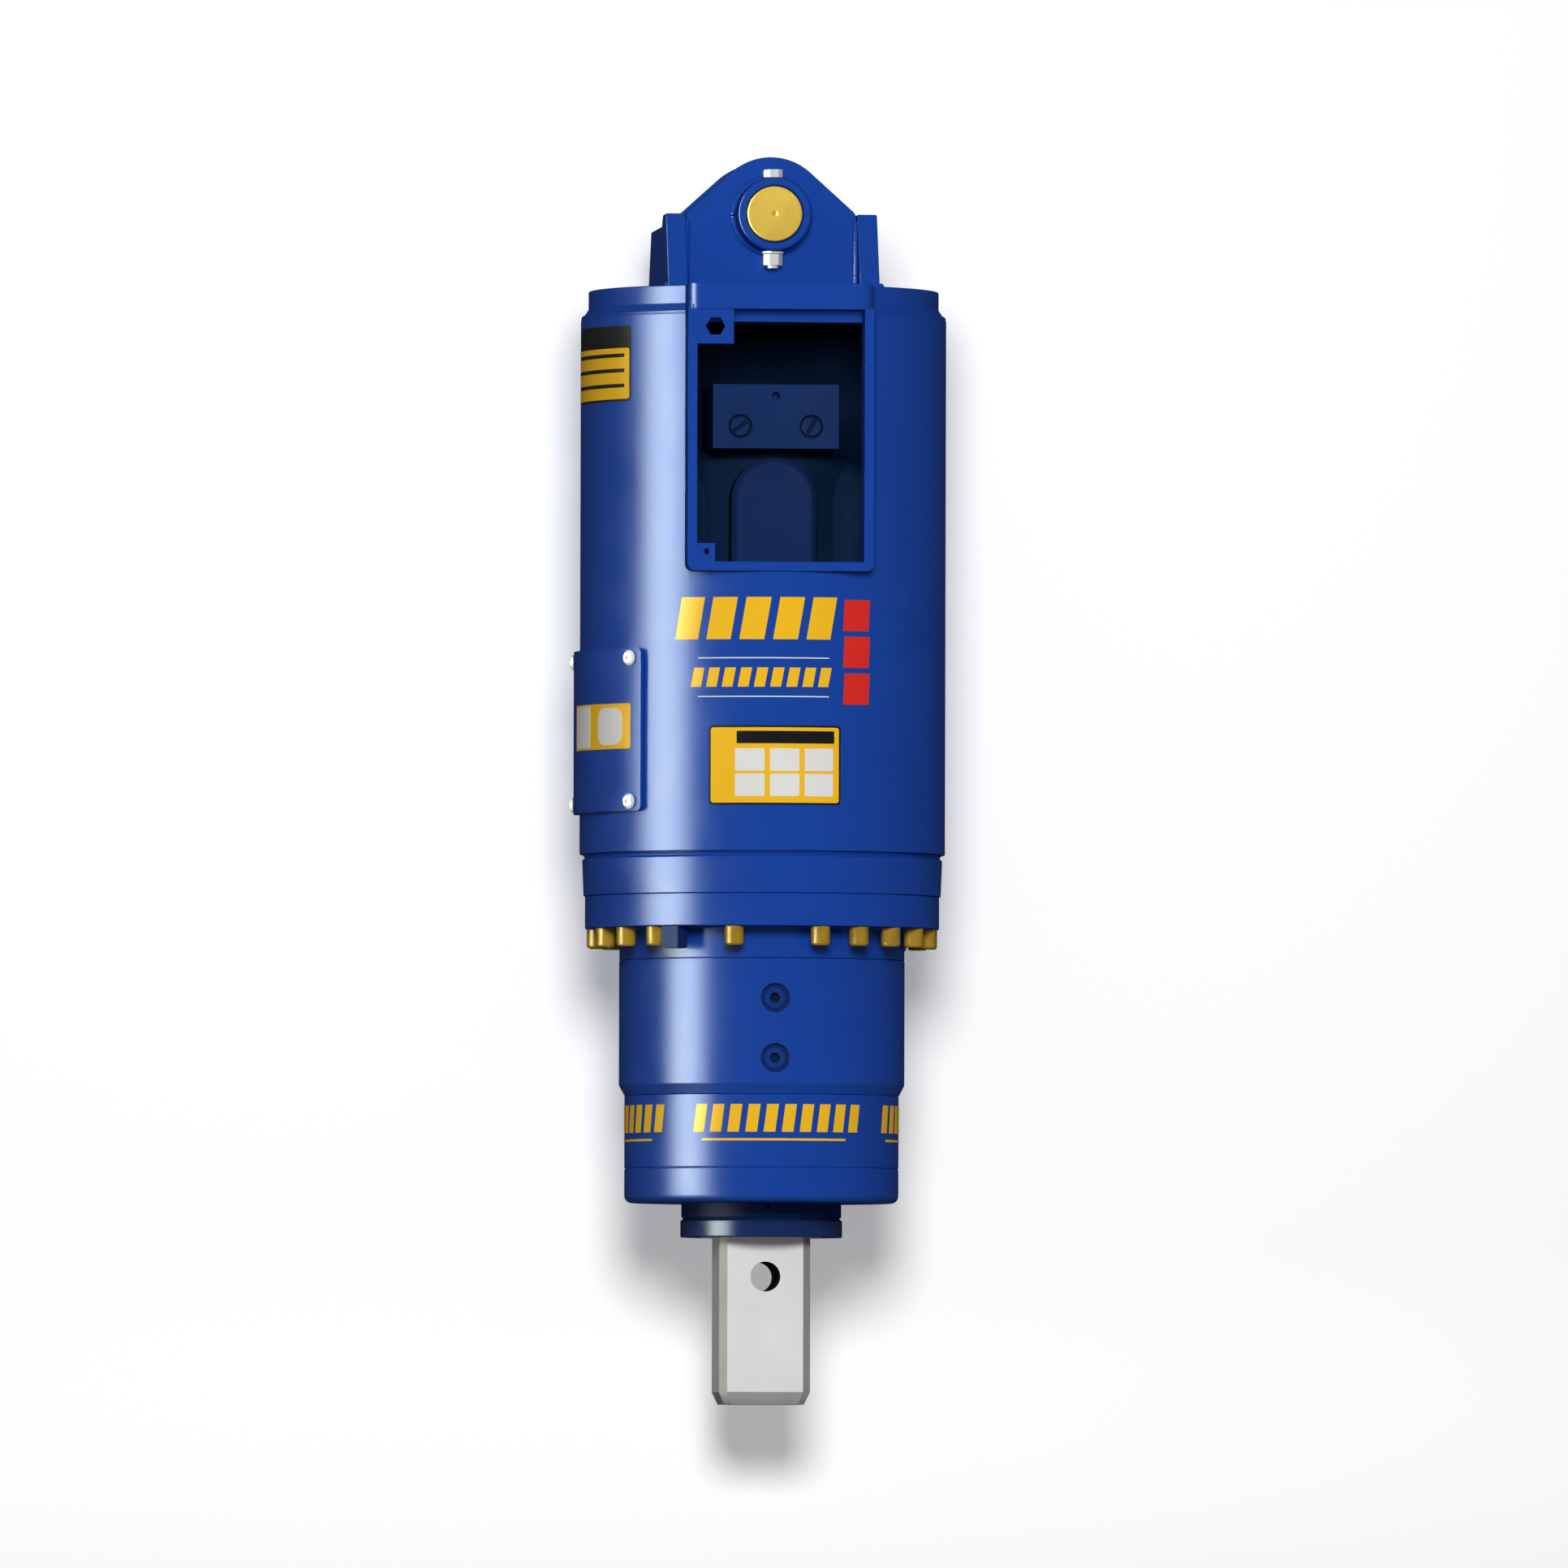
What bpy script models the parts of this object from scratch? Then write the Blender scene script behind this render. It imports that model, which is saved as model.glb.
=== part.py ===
"""Earth auger drive: a hydraulic motor under a hood, on a two-stage planetary gearbox.

Metres, +Z up. The origin is the centre of the hitch pin. The front, with the hose window, faces -Y.
Angles called "from front" turn from -Y towards +X. Levels are heights along Z.
"""

import math

import bmesh
import bpy
from mathutils import Matrix

# Fits and facets
SEAT_GAP = 0.0003
RUNNING_GAP = 0.0003
ROUND = 40
PIN_ROUND = 32
SMALL_ROUND = 20
BOLT_ROUND = 12
FLANGE_BOLT_ROUND = 8
FLANK_POINTS = 2
SHARP_ANGLE = math.radians(35)
TINY = 1e-6

# Gears: a full-depth tooth would be undercut on twelve teeth, so these are stub teeth at 25 degrees
PRESSURE_ANGLE = math.radians(25)
ADDENDUM = 0.80
DEDENDUM = 1.05
BACKLASH = 0.0004
PLANETS = 3
FIRST_MODULE = 0.005
FIRST_SUN_TEETH = 12
FIRST_PLANET_TEETH = 18
FIRST_FACE_WIDTH = 0.030
SECOND_MODULE = 0.006
SECOND_SUN_TEETH = 12
SECOND_PLANET_TEETH = 15
SECOND_FACE_WIDTH = 0.056
GEAR_END_GAP = 0.003
FIRST_PIN_RADIUS = 0.016
SECOND_PIN_RADIUS = 0.019
CARRIER_RIM = 0.010
FIRST_CARRIER_THICKNESS = 0.016
SECOND_CARRIER_THICKNESS = 0.024
SPLINE_TEETH = 12
SPLINE_MODULE = 0.008
SPLINE_ADDENDUM = 0.40
SPLINE_DEDENDUM = 0.45

# Gear case, bearing case and seal carrier
RING_RELIEF = 0.0022
CASE_WALL = 0.0215
CASE_HEAD_ROOM = 0.003
CASE_FOOT_ROOM = 0.0097
CASE_CHAMFER = 0.006
CASE_CHAMFER_HEIGHT = 0.0114
HUB_HEIGHT = 0.034
HUB_WALL = 0.0155
PLUG_RADIUS = 0.0122
PLUG_SINK_RADIUS = 0.0165
PLUG_SINK_DEPTH = 0.005
PLUG_LENGTH = 0.011
PLUG_HEX_FLATS = 0.012
PLUG_HEX_DEPTH = 0.006
FILL_PLUG_DROP = 0.0432
LEVEL_PLUG_DROP = 0.1087
BEARING_CASE_HEIGHT = 0.1172
BEARING_CASE_CORNER = 0.008
GROOVE_DEPTH = 0.0012
BEARING_WIDTH = 0.032
BEARING_SECTION = 0.0245
BEARING_INSET = 0.0035
BEARING_SHOULDER = 0.010
SEAL_SECTION = 0.014
SEAL_HEIGHT = 0.012
SEAL_INSET = 0.002
SEAL_CARRIER_WALL = 0.008
SEAL_CARRIER_HEIGHT = 0.0372
SEAL_CARRIER_BORE_GAP = 0.0012
SEAL_CARRIER_GROOVE_DROP = 0.0153

# Output shaft
JOURNAL_MARGIN = 0.0005
SQUARE_SIDE = 0.100
SQUARE_CHAMFER = 0.0084
SQUARE_LENGTH = 0.1826
SQUARE_LEAD = 0.0136
SQUARE_LEAD_INSET = 0.006
CROSS_HOLE_RADIUS = 0.01625
CROSS_HOLE_DROP = 0.043

# Bolted joint between gearbox and hood
FLANGE_THICKNESS = 0.0357
BOLT_CIRCLE_OFFSET = 0.026
FLANGE_EDGE = 0.0118
FLANGE_STEP = 0.0032
RING_STEP = 0.003
BASE_RING_HEIGHT = 0.0452
BASE_RING_NOTCH = 0.005
BASE_RING_TAPER = 0.0015
SPIGOT_HEIGHT = 0.014
BASE_RING_BORE_OFFSET = 0.022
BOLT_PLACES = 24
FRONT_PLACE = 0
BLOCK_PLACE = 22
BLOCK_TURN = math.radians(-37)
BOLT_RADIUS = 0.007
BOLT_GRIP = 0.026
BOLT_HOLE_GAP = 0.0005
BOLT_HEAD_RADIUS = 0.0105
BOLT_HEAD_HEIGHT = 0.0205
BLOCK_WIDTH = 0.0205
BLOCK_DEPTH = 0.020
BLOCK_HEIGHT = 0.024

# Hood
TUBE_WALL = 0.008
TUBE_LENGTH = 0.5855
PLATE_THICKNESS = 0.040
PLATE_STANDOFF = 0.031
PLATE_WELD_HEIGHT = 0.011
FRAME_WIDTH = 0.203
FRAME_HEIGHT = 0.3125
FRAME_SIDE = 0.010
FRAME_TOP_BAR = 0.0275
FRAME_BOTTOM_BAR = 0.0098
FRAME_PROUD = 0.004
FRAME_DEPTH = 0.036
FRAME_CORNER = 0.008
TOP_BAR_CORNER = 0.016
TAB_WIDTH = 0.040
TAB_HEIGHT = 0.038
TAB_THICKNESS = 0.008
TAB_RECESS = 0.003
TAB_HOLE_FLATS = 0.0185
LOW_TAB_SIZE = 0.020
COVER_ANGLE = math.radians(-75)
COVER_HALF_ANGLE = math.radians(29.6)
COVER_HEIGHT = 0.1775
COVER_RISE = 0.044
COVER_THICKNESS = 0.0065
COVER_CORNER = 0.006
COVER_BOLT_INSET_ANGLE = math.radians(4.4)
COVER_BOLT_INSET = 0.0106
COVER_BOLT_RADIUS = 0.005
COVER_BOLT_HEAD_RADIUS = 0.0085
COVER_BOLT_HEAD_HEIGHT = 0.005
COVER_BOLT_RIM_HEIGHT = 0.002
COVER_BOLT_CROWN_RADIUS = 0.0051
ACCESS_INSET_ANGLE = math.radians(9.6)
ACCESS_INSET = 0.025

# Hitch
PIN_HEIGHT = 0.080
PIN_RADIUS = 0.030
PIN_CHAMFER = 0.0015
PIN_PROUD = 0.003
PIN_TAIL = 0.006
EAR_TOP_RADIUS = 0.064
EAR_FLANK = math.radians(48)
EAR_HALF_WIDTH = 0.0937
EAR_THICKNESS = 0.025
EAR_GAP = 0.120
GUSSET_THICKNESS = 0.022
GUSSET_TOP_OVERHANG = 0.002
GUSSET_FOOT_OVERHANG = 0.035
GUSSET_STEP = 0.012
GUSSET_LUG = 0.034
BOSS_RADIUS = 0.040
BOSS_LENGTH = 0.040
LOCK_BOLT_RADIUS = 0.006
LOCK_HEX_FLATS = 0.0185
LOCK_HEAD_HEIGHT = 0.009
LOCK_NUT_HEIGHT = 0.013
LOCK_WASHER_RADIUS = 0.0118
LOCK_WASHER_HEIGHT = 0.0025
LOCK_BOLT_TAIL = 0.003

# Motor
HOSE_ROOM = 0.067
PORT_BLOCK_HEIGHT = 0.070
PORT_BLOCK_WIDTH = 0.138
PORT_BLOCK_REACH = 0.145
PORT_SPREAD = 0.039
PORT_DROP = 0.046
PORT_RADIUS = 0.013
PORT_DEPTH = 0.022
DISTRIBUTOR_RADIUS = 0.072
LOBES = 5
LOBE_WIDTH = 0.092
LOBE_REACH = 0.128
LOBE_START = 0.085
LOBE_DROP = 0.009
LOBE_HEIGHT = 0.131
MOTOR_CORE_RADIUS = 0.100
MOTOR_SKIRT_RADIUS = 0.120
MOTOR_NECK_RADIUS = 0.085
MOTOR_FLANGE_GAP = 0.012
MOTOR_FLANGE_THICKNESS = 0.026
MOTOR_FLANGE_FILLET = 0.018
MOTOR_SPIGOT_RADIUS = 0.075
MOTOR_SPIGOT_HEIGHT = 0.022
PINION_SHAFT_RADIUS = 0.0215
PINION_ENGAGEMENT = 0.045

# Gear sizes
FIRST_RING_TEETH = FIRST_SUN_TEETH + 2 * FIRST_PLANET_TEETH
SECOND_RING_TEETH = SECOND_SUN_TEETH + 2 * SECOND_PLANET_TEETH
FIRST_DISTANCE = FIRST_MODULE * (FIRST_SUN_TEETH + FIRST_PLANET_TEETH) / 2
SECOND_DISTANCE = SECOND_MODULE * (SECOND_SUN_TEETH + SECOND_PLANET_TEETH) / 2
FIRST_RING_ROOT = FIRST_MODULE * (FIRST_RING_TEETH / 2 + DEDENDUM)
SECOND_RING_ROOT = SECOND_MODULE * (SECOND_RING_TEETH / 2 + DEDENDUM)
CASE_BORE = max(FIRST_RING_ROOT, SECOND_RING_ROOT) + RING_RELIEF

# Radii that follow from the gears outwards
CASE_RADIUS = CASE_BORE + CASE_WALL
BEARING_CASE_RADIUS = CASE_RADIUS - CASE_CHAMFER
BOLT_CIRCLE_RADIUS = CASE_RADIUS + BOLT_CIRCLE_OFFSET
FLANGE_RADIUS = BOLT_CIRCLE_RADIUS + FLANGE_EDGE
BASE_RING_RADIUS = FLANGE_RADIUS + FLANGE_STEP
BASE_RING_BORE = BOLT_CIRCLE_RADIUS - BASE_RING_BORE_OFFSET
TUBE_RADIUS = BASE_RING_RADIUS + RING_STEP
TUBE_BORE = TUBE_RADIUS - TUBE_WALL
JOURNAL_RADIUS = math.hypot(SQUARE_SIDE / 2 - SQUARE_CHAMFER, SQUARE_SIDE / 2) + JOURNAL_MARGIN
BEARING_RADIUS = JOURNAL_RADIUS + BEARING_SECTION
SEAL_RADIUS = JOURNAL_RADIUS + SEAL_SECTION
SEAL_CARRIER_RADIUS = SEAL_RADIUS + SEAL_CARRIER_WALL

# Levels, from the pin down
PLATE_TOP = -PIN_HEIGHT
PLATE_BOTTOM = PLATE_TOP - PLATE_THICKNESS
TUBE_TOP = PLATE_TOP - PLATE_STANDOFF
TUBE_BOTTOM = TUBE_TOP - TUBE_LENGTH
FRAME_BOTTOM = PLATE_TOP - FRAME_HEIGHT
BASE_RING_TOP = TUBE_BOTTOM - SEAT_GAP
BASE_RING_BOTTOM = BASE_RING_TOP - BASE_RING_HEIGHT
FLANGE_TOP = BASE_RING_BOTTOM - SEAT_GAP
FLANGE_BOTTOM = FLANGE_TOP - FLANGE_THICKNESS
HUB_BOTTOM = FLANGE_BOTTOM - HUB_HEIGHT
CASE_TOP = HUB_BOTTOM - SEAT_GAP
FIRST_GEAR_TOP = CASE_TOP - CASE_HEAD_ROOM
FIRST_GEAR_BOTTOM = FIRST_GEAR_TOP - FIRST_FACE_WIDTH
FIRST_CARRIER_TOP = FIRST_GEAR_BOTTOM - GEAR_END_GAP
FIRST_CARRIER_BOTTOM = FIRST_CARRIER_TOP - FIRST_CARRIER_THICKNESS
SECOND_GEAR_TOP = FIRST_CARRIER_BOTTOM - GEAR_END_GAP
SECOND_GEAR_BOTTOM = SECOND_GEAR_TOP - SECOND_FACE_WIDTH
SECOND_CARRIER_TOP = SECOND_GEAR_BOTTOM - GEAR_END_GAP
SECOND_CARRIER_BOTTOM = SECOND_CARRIER_TOP - SECOND_CARRIER_THICKNESS
CASE_BOTTOM = SECOND_CARRIER_BOTTOM - CASE_FOOT_ROOM
BEARING_CASE_TOP = CASE_BOTTOM - SEAT_GAP
BEARING_CASE_BOTTOM = BEARING_CASE_TOP - BEARING_CASE_HEIGHT
SEAL_CARRIER_TOP = BEARING_CASE_BOTTOM - SEAT_GAP
SEAL_CARRIER_BOTTOM = SEAL_CARRIER_TOP - SEAL_CARRIER_HEIGHT
SHAFT_SHOULDER = SECOND_CARRIER_BOTTOM - SEAT_GAP
SHAFT_BOTTOM = SEAL_CARRIER_BOTTOM - SQUARE_LENGTH
PORT_BLOCK_TOP = PLATE_BOTTOM - HOSE_ROOM
PORT_BLOCK_BOTTOM = PORT_BLOCK_TOP - PORT_BLOCK_HEIGHT
MOTOR_TOP = PORT_BLOCK_BOTTOM - SEAT_GAP
MOTOR_BASE = FLANGE_TOP + SEAT_GAP


def linear(red, green, blue):
    """A colour given in 0 to 255 sRGB, as the linear values that a shader takes."""
    shares = [value / 255 for value in (red, green, blue)]
    return [s / 12.92 if s < 0.04045 else ((s + 0.055) / 1.055) ** 2.4 for s in shares] + [1.0]


def finish(name, colour, roughness, metallic):
    made = bpy.data.materials.new(name)
    made.use_nodes = True
    shader = made.node_tree.nodes["Principled BSDF"]
    shader.inputs["Base Color"].default_value = linear(*colour)
    shader.inputs["Roughness"].default_value = roughness
    shader.inputs["Metallic"].default_value = metallic
    return made


def circle(radius, steps, centre=(0.0, 0.0), start=0.0):
    turns = [start + 2 * math.pi * step / steps for step in range(steps)]
    return [(centre[0] + radius * math.cos(t), centre[1] + radius * math.sin(t)) for t in turns]


def arc(radius, start, end, steps, centre=(0.0, 0.0)):
    turns = [start + (end - start) * step / steps for step in range(steps + 1)]
    return [(centre[0] + radius * math.cos(t), centre[1] + radius * math.sin(t)) for t in turns]


def rectangle(left, right, low, high):
    return [(left, low), (right, low), (right, high), (left, high)]


def hexagon(flats):
    return circle(flats / math.sqrt(3), 6)


def twelve_point_hexagon(flats):
    """A hexagon with a point in the middle of each side, to loft to a circle of twelve points."""
    corner = flats / math.sqrt(3)
    return [
        (r * math.cos(t), r * math.sin(t))
        for r, t in ((corner if k % 2 == 0 else flats / 2, k * math.pi / 6) for k in range(12))
    ]


def involute(base, radius):
    """The angle that an involute has turned through where it reaches the radius."""
    rolled = math.sqrt(max((radius / base) ** 2 - 1, 0))
    return rolled - math.atan(rolled)


def gear_outline(teeth, module, tip, root, backlash, phase=0.0):
    """Teeth as an outline. tip and root are how far they reach beyond and below the pitch circle."""
    pitch = module * teeth / 2
    base = pitch * math.cos(PRESSURE_ANGLE)
    half = math.pi / (2 * teeth) - backlash / (2 * pitch) + involute(base, pitch)
    radii = [pitch - root + (tip + root) * k / (FLANK_POINTS - 1) for k in range(FLANK_POINTS)]
    flank = [(radius, half - involute(base, radius)) for radius in radii]
    points = []
    for tooth in range(teeth):
        middle = phase + 2 * math.pi * tooth / teeth
        turned_flank = [(r, middle - w) for r, w in flank] + [(r, middle + w) for r, w in reversed(flank)]
        points += [(r * math.cos(t), r * math.sin(t)) for r, t in turned_flank]
    return points


def external_gear(teeth, module, grow=0.0, phase=0.0):
    """An outer gear's outline, or with grow the bore that it slides into as a spline."""
    reach, depth = module * ADDENDUM + grow, module * DEDENDUM - grow
    return gear_outline(teeth, module, reach, depth, BACKLASH - 2 * grow, phase)


def ring_opening(teeth, module, phase):
    """The outline cut out of a ring gear: its tooth spaces take the planets' teeth."""
    return gear_outline(teeth, module, module * DEDENDUM, module * ADDENDUM, -BACKLASH, phase)


def spline_outline(grow=0.0):
    reach, depth = SPLINE_MODULE * SPLINE_ADDENDUM + grow, SPLINE_MODULE * SPLINE_DEDENDUM - grow
    return gear_outline(SPLINE_TEETH, SPLINE_MODULE, reach, depth, BACKLASH - 2 * grow)


def planet_phase(sun_teeth, planet_teeth, angle):
    """Where a planet at this angle has a tooth, so that it meshes with a sun that has one at the front."""
    past_tooth = (angle + math.pi / 2) * sun_teeth / (2 * math.pi)
    return angle + math.pi - (0.5 - past_tooth) * 2 * math.pi / planet_teeth


def ring_phase(planet_teeth, ring_teeth):
    return -math.pi / 2 - (0.5 - planet_teeth / 2) * 2 * math.pi / ring_teeth


def planet_angles():
    return [-math.pi / 2 + 2 * math.pi * k / PLANETS for k in range(PLANETS)]


def prism(outline, low, high):
    """The outline in XY, extruded from low to high along Z."""
    bm = bmesh.new()
    face = bm.faces.new([bm.verts.new((x, y, low)) for x, y in outline])
    grown = bmesh.ops.extrude_face_region(bm, geom=[face])["geom"]
    moved = [part for part in grown if isinstance(part, bmesh.types.BMVert)]
    bmesh.ops.translate(bm, verts=moved, vec=(0, 0, high - low))
    return bm


def turned(profile, steps=ROUND):
    """The profile of (radius, height) points, spun about Z. Its last point joins its first."""
    bm = bmesh.new()
    corners = [bm.verts.new((radius, 0, height)) for radius, height in profile]
    edges = []
    for start, end in zip(corners, corners[1:] + corners[:1]):
        if start.co.x > 0 or end.co.x > 0:
            edges.append(bm.edges.new((start, end)))
    bmesh.ops.spin(
        bm, geom=corners + edges, cent=(0, 0, 0), axis=(0, 0, 1),
        angle=2 * math.pi, steps=steps, use_merge=True,
    )
    bmesh.ops.remove_doubles(bm, verts=bm.verts, dist=TINY)
    return bm


def sector(inner, outer, low, high, middle, half_angle, steps):
    """Part of a tube wall: a rectangle swept about Z, from front."""
    bm = bmesh.new()
    start = middle - half_angle
    across = [(inner, low), (outer, low), (outer, high), (inner, high)]
    corners = [bm.verts.new((r * math.sin(start), -r * math.cos(start), z)) for r, z in across]
    face = bm.faces.new(corners)
    bmesh.ops.spin(
        bm, geom=[face], cent=(0, 0, 0), axis=(0, 0, 1), angle=2 * half_angle, steps=steps, use_merge=False
    )
    return bm


def lofted(sections, through=False):
    """Loops of equal count joined in order. Ends are capped, or with through the last joins the first."""
    bm = bmesh.new()
    loops = [[bm.verts.new((x, y, z)) for x, y in outline] for outline, z in sections]
    pairs = list(zip(loops, loops[1:]))
    if through:
        pairs.append((loops[-1], loops[0]))
    else:
        bm.faces.new(loops[0])
        bm.faces.new(loops[-1])
    for low, high in pairs:
        for k in range(len(low)):
            after = (k + 1) % len(low)
            bm.faces.new((low[k], low[after], high[after], high[k]))
    return bm


def combined(shapes):
    """Several bmeshes as one, for a cutter or for pieces that a union joins to one carrier."""
    whole = bmesh.new()
    for bm in shapes:
        mesh = bpy.data.meshes.new("part_of_whole")
        bm.to_mesh(mesh)
        bm.free()
        whole.from_mesh(mesh)
        bpy.data.meshes.remove(mesh)
    return whole


def placed(bm, offset=(0, 0, 0), turn_about_z=0.0):
    bmesh.ops.rotate(bm, verts=bm.verts, cent=(0, 0, 0), matrix=Matrix.Rotation(turn_about_z, 3, "Z"))
    bmesh.ops.translate(bm, verts=bm.verts, vec=offset)
    return bm


def add_object(name, bm, location=(0, 0, 0), rotation=(0, 0, 0), parent=None):
    bmesh.ops.recalc_face_normals(bm, faces=bm.faces)
    mesh = bpy.data.meshes.new(name)
    bm.to_mesh(mesh)
    bm.free()
    mesh.shade_smooth()
    mesh.set_sharp_from_angle(angle=SHARP_ANGLE)
    made = bpy.data.objects.new(name, mesh)
    made.location = location
    made.rotation_euler = rotation
    made.parent = parent
    bpy.context.scene.collection.objects.link(made)
    return made


def piece(name, bm, material, location=(0, 0, 0), rotation=(0, 0, 0), parent=None):
    made = add_object(name, bm, location, rotation, parent)
    made.data.materials.append(material)
    return made


def helper(name, bm, location=(0, 0, 0), rotation=(0, 0, 0), parent=None):
    """A cutter, or a shape that is joined to a piece: it isn't rendered by itself."""
    made = add_object(name, bm, location, rotation, parent)
    made.hide_render = True
    made.display_type = "WIRE"
    return made


def shaped_by(target, other, operation):
    modifier = target.modifiers.new(other.name, "BOOLEAN")
    modifier.operation = operation
    modifier.object = other
    modifier.solver = "EXACT"


def cut(target, other):
    shaped_by(target, other, "DIFFERENCE")


def join(target, other):
    shaped_by(target, other, "UNION")


def axis_empty(name, location, parent):
    """An empty on a joint's axis: what turns on the joint is its child."""
    made = bpy.data.objects.new(name, None)
    made.location = location
    made.parent = parent
    bpy.context.scene.collection.objects.link(made)
    return made


def from_front(angle):
    """The rotation that points a shape's +Z outwards at this angle from front, and its +Y up."""
    return (math.pi / 2, 0, angle)


def outwards(radius, angle, level):
    return (radius * math.sin(angle), -radius * math.cos(angle), level)


FACING_FRONT = from_front(0)
FACING_RIGHT = from_front(math.pi / 2)


def ear_shoulder():
    """The height at which the ear's sloping flank reaches its full width."""
    return (EAR_TOP_RADIUS - EAR_HALF_WIDTH * math.cos(EAR_FLANK)) / math.sin(EAR_FLANK)


def ear_outline():
    foot = PLATE_TOP + SEAT_GAP
    top = arc(EAR_TOP_RADIUS, EAR_FLANK, math.pi - EAR_FLANK, 12)
    shoulder = ear_shoulder()
    right = [(EAR_HALF_WIDTH, foot), (EAR_HALF_WIDTH, shoulder)]
    left = [(-EAR_HALF_WIDTH, shoulder), (-EAR_HALF_WIDTH, foot)]
    return right + top + left


def add_ears(paint):
    """Both hitch plates, the front one with the boss that the pin is locked in."""
    reach = EAR_GAP / 2 + EAR_THICKNESS
    front_place = (0, -EAR_GAP / 2, 0)
    front = piece("front_ear", prism(ear_outline(), 0, EAR_THICKNESS), paint, front_place, FACING_FRONT)
    rear = piece("rear_ear", prism(ear_outline(), 0, EAR_THICKNESS), paint, (0, reach, 0), FACING_FRONT)
    boss_shape = prism(circle(BOSS_RADIUS, PIN_ROUND), EAR_THICKNESS / 2, EAR_THICKNESS + BOSS_LENGTH)
    join(front, helper("pin_boss", boss_shape, front_place, FACING_FRONT))
    bore_shape = prism(circle(PIN_RADIUS + SEAT_GAP, PIN_ROUND), -2 * reach, 2 * reach + BOSS_LENGTH)
    bore = helper("pin_bore", bore_shape, rotation=FACING_FRONT)
    cut(front, bore)
    cut(rear, bore)
    return front


def add_gussets(paint):
    """Plates that tie the ears together at their sides, with a raised lug at the front ear."""
    top = ear_shoulder()
    low_top = top - GUSSET_STEP
    foot = PLATE_TOP + SEAT_GAP
    ear_face = EAR_GAP / 2 + EAR_THICKNESS
    half_top = ear_face + GUSSET_TOP_OVERHANG
    half_foot = ear_face + GUSSET_FOOT_OVERHANG
    lug_end = GUSSET_LUG - half_top
    outline = [
        (-half_foot, foot), (half_foot, foot), (half_top, low_top),
        (lug_end + GUSSET_STEP, low_top), (lug_end, top), (-half_top, top),
    ]
    inner = EAR_HALF_WIDTH + SEAT_GAP
    for name, start in (("left_gusset", -inner - GUSSET_THICKNESS), ("right_gusset", inner)):
        piece(name, prism(outline, 0, GUSSET_THICKNESS), paint, (start, 0, 0), FACING_RIGHT)


def add_pin(zinc_yellow, zinc_white, front_ear):
    """The hitch pin, and the bolt that goes down through boss and pin to lock it."""
    ear_face = EAR_GAP / 2 + EAR_THICKNESS
    start = -ear_face - PIN_TAIL
    end = ear_face + BOSS_LENGTH + PIN_PROUD
    narrow = PIN_RADIUS - PIN_CHAMFER
    profile = [
        (0, start), (narrow, start), (PIN_RADIUS, start + PIN_CHAMFER),
        (PIN_RADIUS, end - PIN_CHAMFER), (narrow, end), (0, end),
    ]
    pin = piece("hitch_pin", turned(profile, PIN_ROUND), zinc_yellow, rotation=FACING_FRONT)
    place = (0, -ear_face - BOSS_LENGTH / 2, 0)
    bore = circle(LOCK_BOLT_RADIUS + SEAT_GAP, BOLT_ROUND)
    hole = helper("lock_bolt_hole", prism(bore, -2 * BOSS_RADIUS, 2 * BOSS_RADIUS), place)
    cut(front_ear, hole)
    cut(pin, hole)
    seat = BOSS_RADIUS + SEAT_GAP
    nut_end = seat + LOCK_WASHER_HEIGHT + LOCK_NUT_HEIGHT
    shank = circle(LOCK_BOLT_RADIUS, BOLT_ROUND)
    head = twelve_point_hexagon(LOCK_HEX_FLATS)
    bolt = [(shank, -nut_end - LOCK_BOLT_TAIL), (shank, seat), (head, seat), (head, seat + LOCK_HEAD_HEIGHT)]
    piece("pin_lock_bolt", lofted(bolt), zinc_white, place)
    washer = circle(LOCK_WASHER_RADIUS, BOLT_ROUND)
    step = -seat - LOCK_WASHER_HEIGHT
    nut = [(bore, -seat), (washer, -seat), (washer, step), (head, step), (head, -nut_end), (bore, -nut_end)]
    piece("pin_lock_nut", lofted(nut, through=True), zinc_white, place)


def frame_outline(grow):
    """The window frame seen from the front, with rounded lower corners."""
    half, low, high = FRAME_WIDTH / 2 + grow, FRAME_BOTTOM - grow, PLATE_TOP + grow
    corner = FRAME_CORNER + grow
    right = arc(corner, -math.pi / 2, 0, 4, (half - corner, low + corner))
    left = arc(corner, math.pi, 1.5 * math.pi, 4, (corner - half, low + corner))
    return right + [(half, high), (-half, high)] + left


def add_top_plate(paint):
    edge = TUBE_BORE - SEAT_GAP
    weld_foot = TUBE_TOP + SEAT_GAP
    profile = [
        (0, PLATE_TOP), (edge, PLATE_TOP), (edge, weld_foot + PLATE_WELD_HEIGHT), (TUBE_RADIUS, weld_foot),
        (edge, weld_foot), (edge, PLATE_BOTTOM), (0, PLATE_BOTTOM),
    ]
    return piece("hood_top_plate", turned(profile), paint)


def top_bar_corners(front, low):
    """What is cut off the top bar to round its upright front corners."""
    radius = TOP_BAR_CORNER
    outside = FRAME_WIDTH / 2 + radius
    centre = (FRAME_WIDTH / 2 - radius, radius - front)
    right = [
        (outside, centre[1]), *arc(radius, 0, -math.pi / 2, 4, centre),
        (centre[0], -front - radius), (outside, -front - radius),
    ]
    left = [(-x, y) for x, y in right]
    high = PLATE_TOP + PLATE_THICKNESS
    return combined([prism(right, low, high), prism(left, low, high)])


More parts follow.
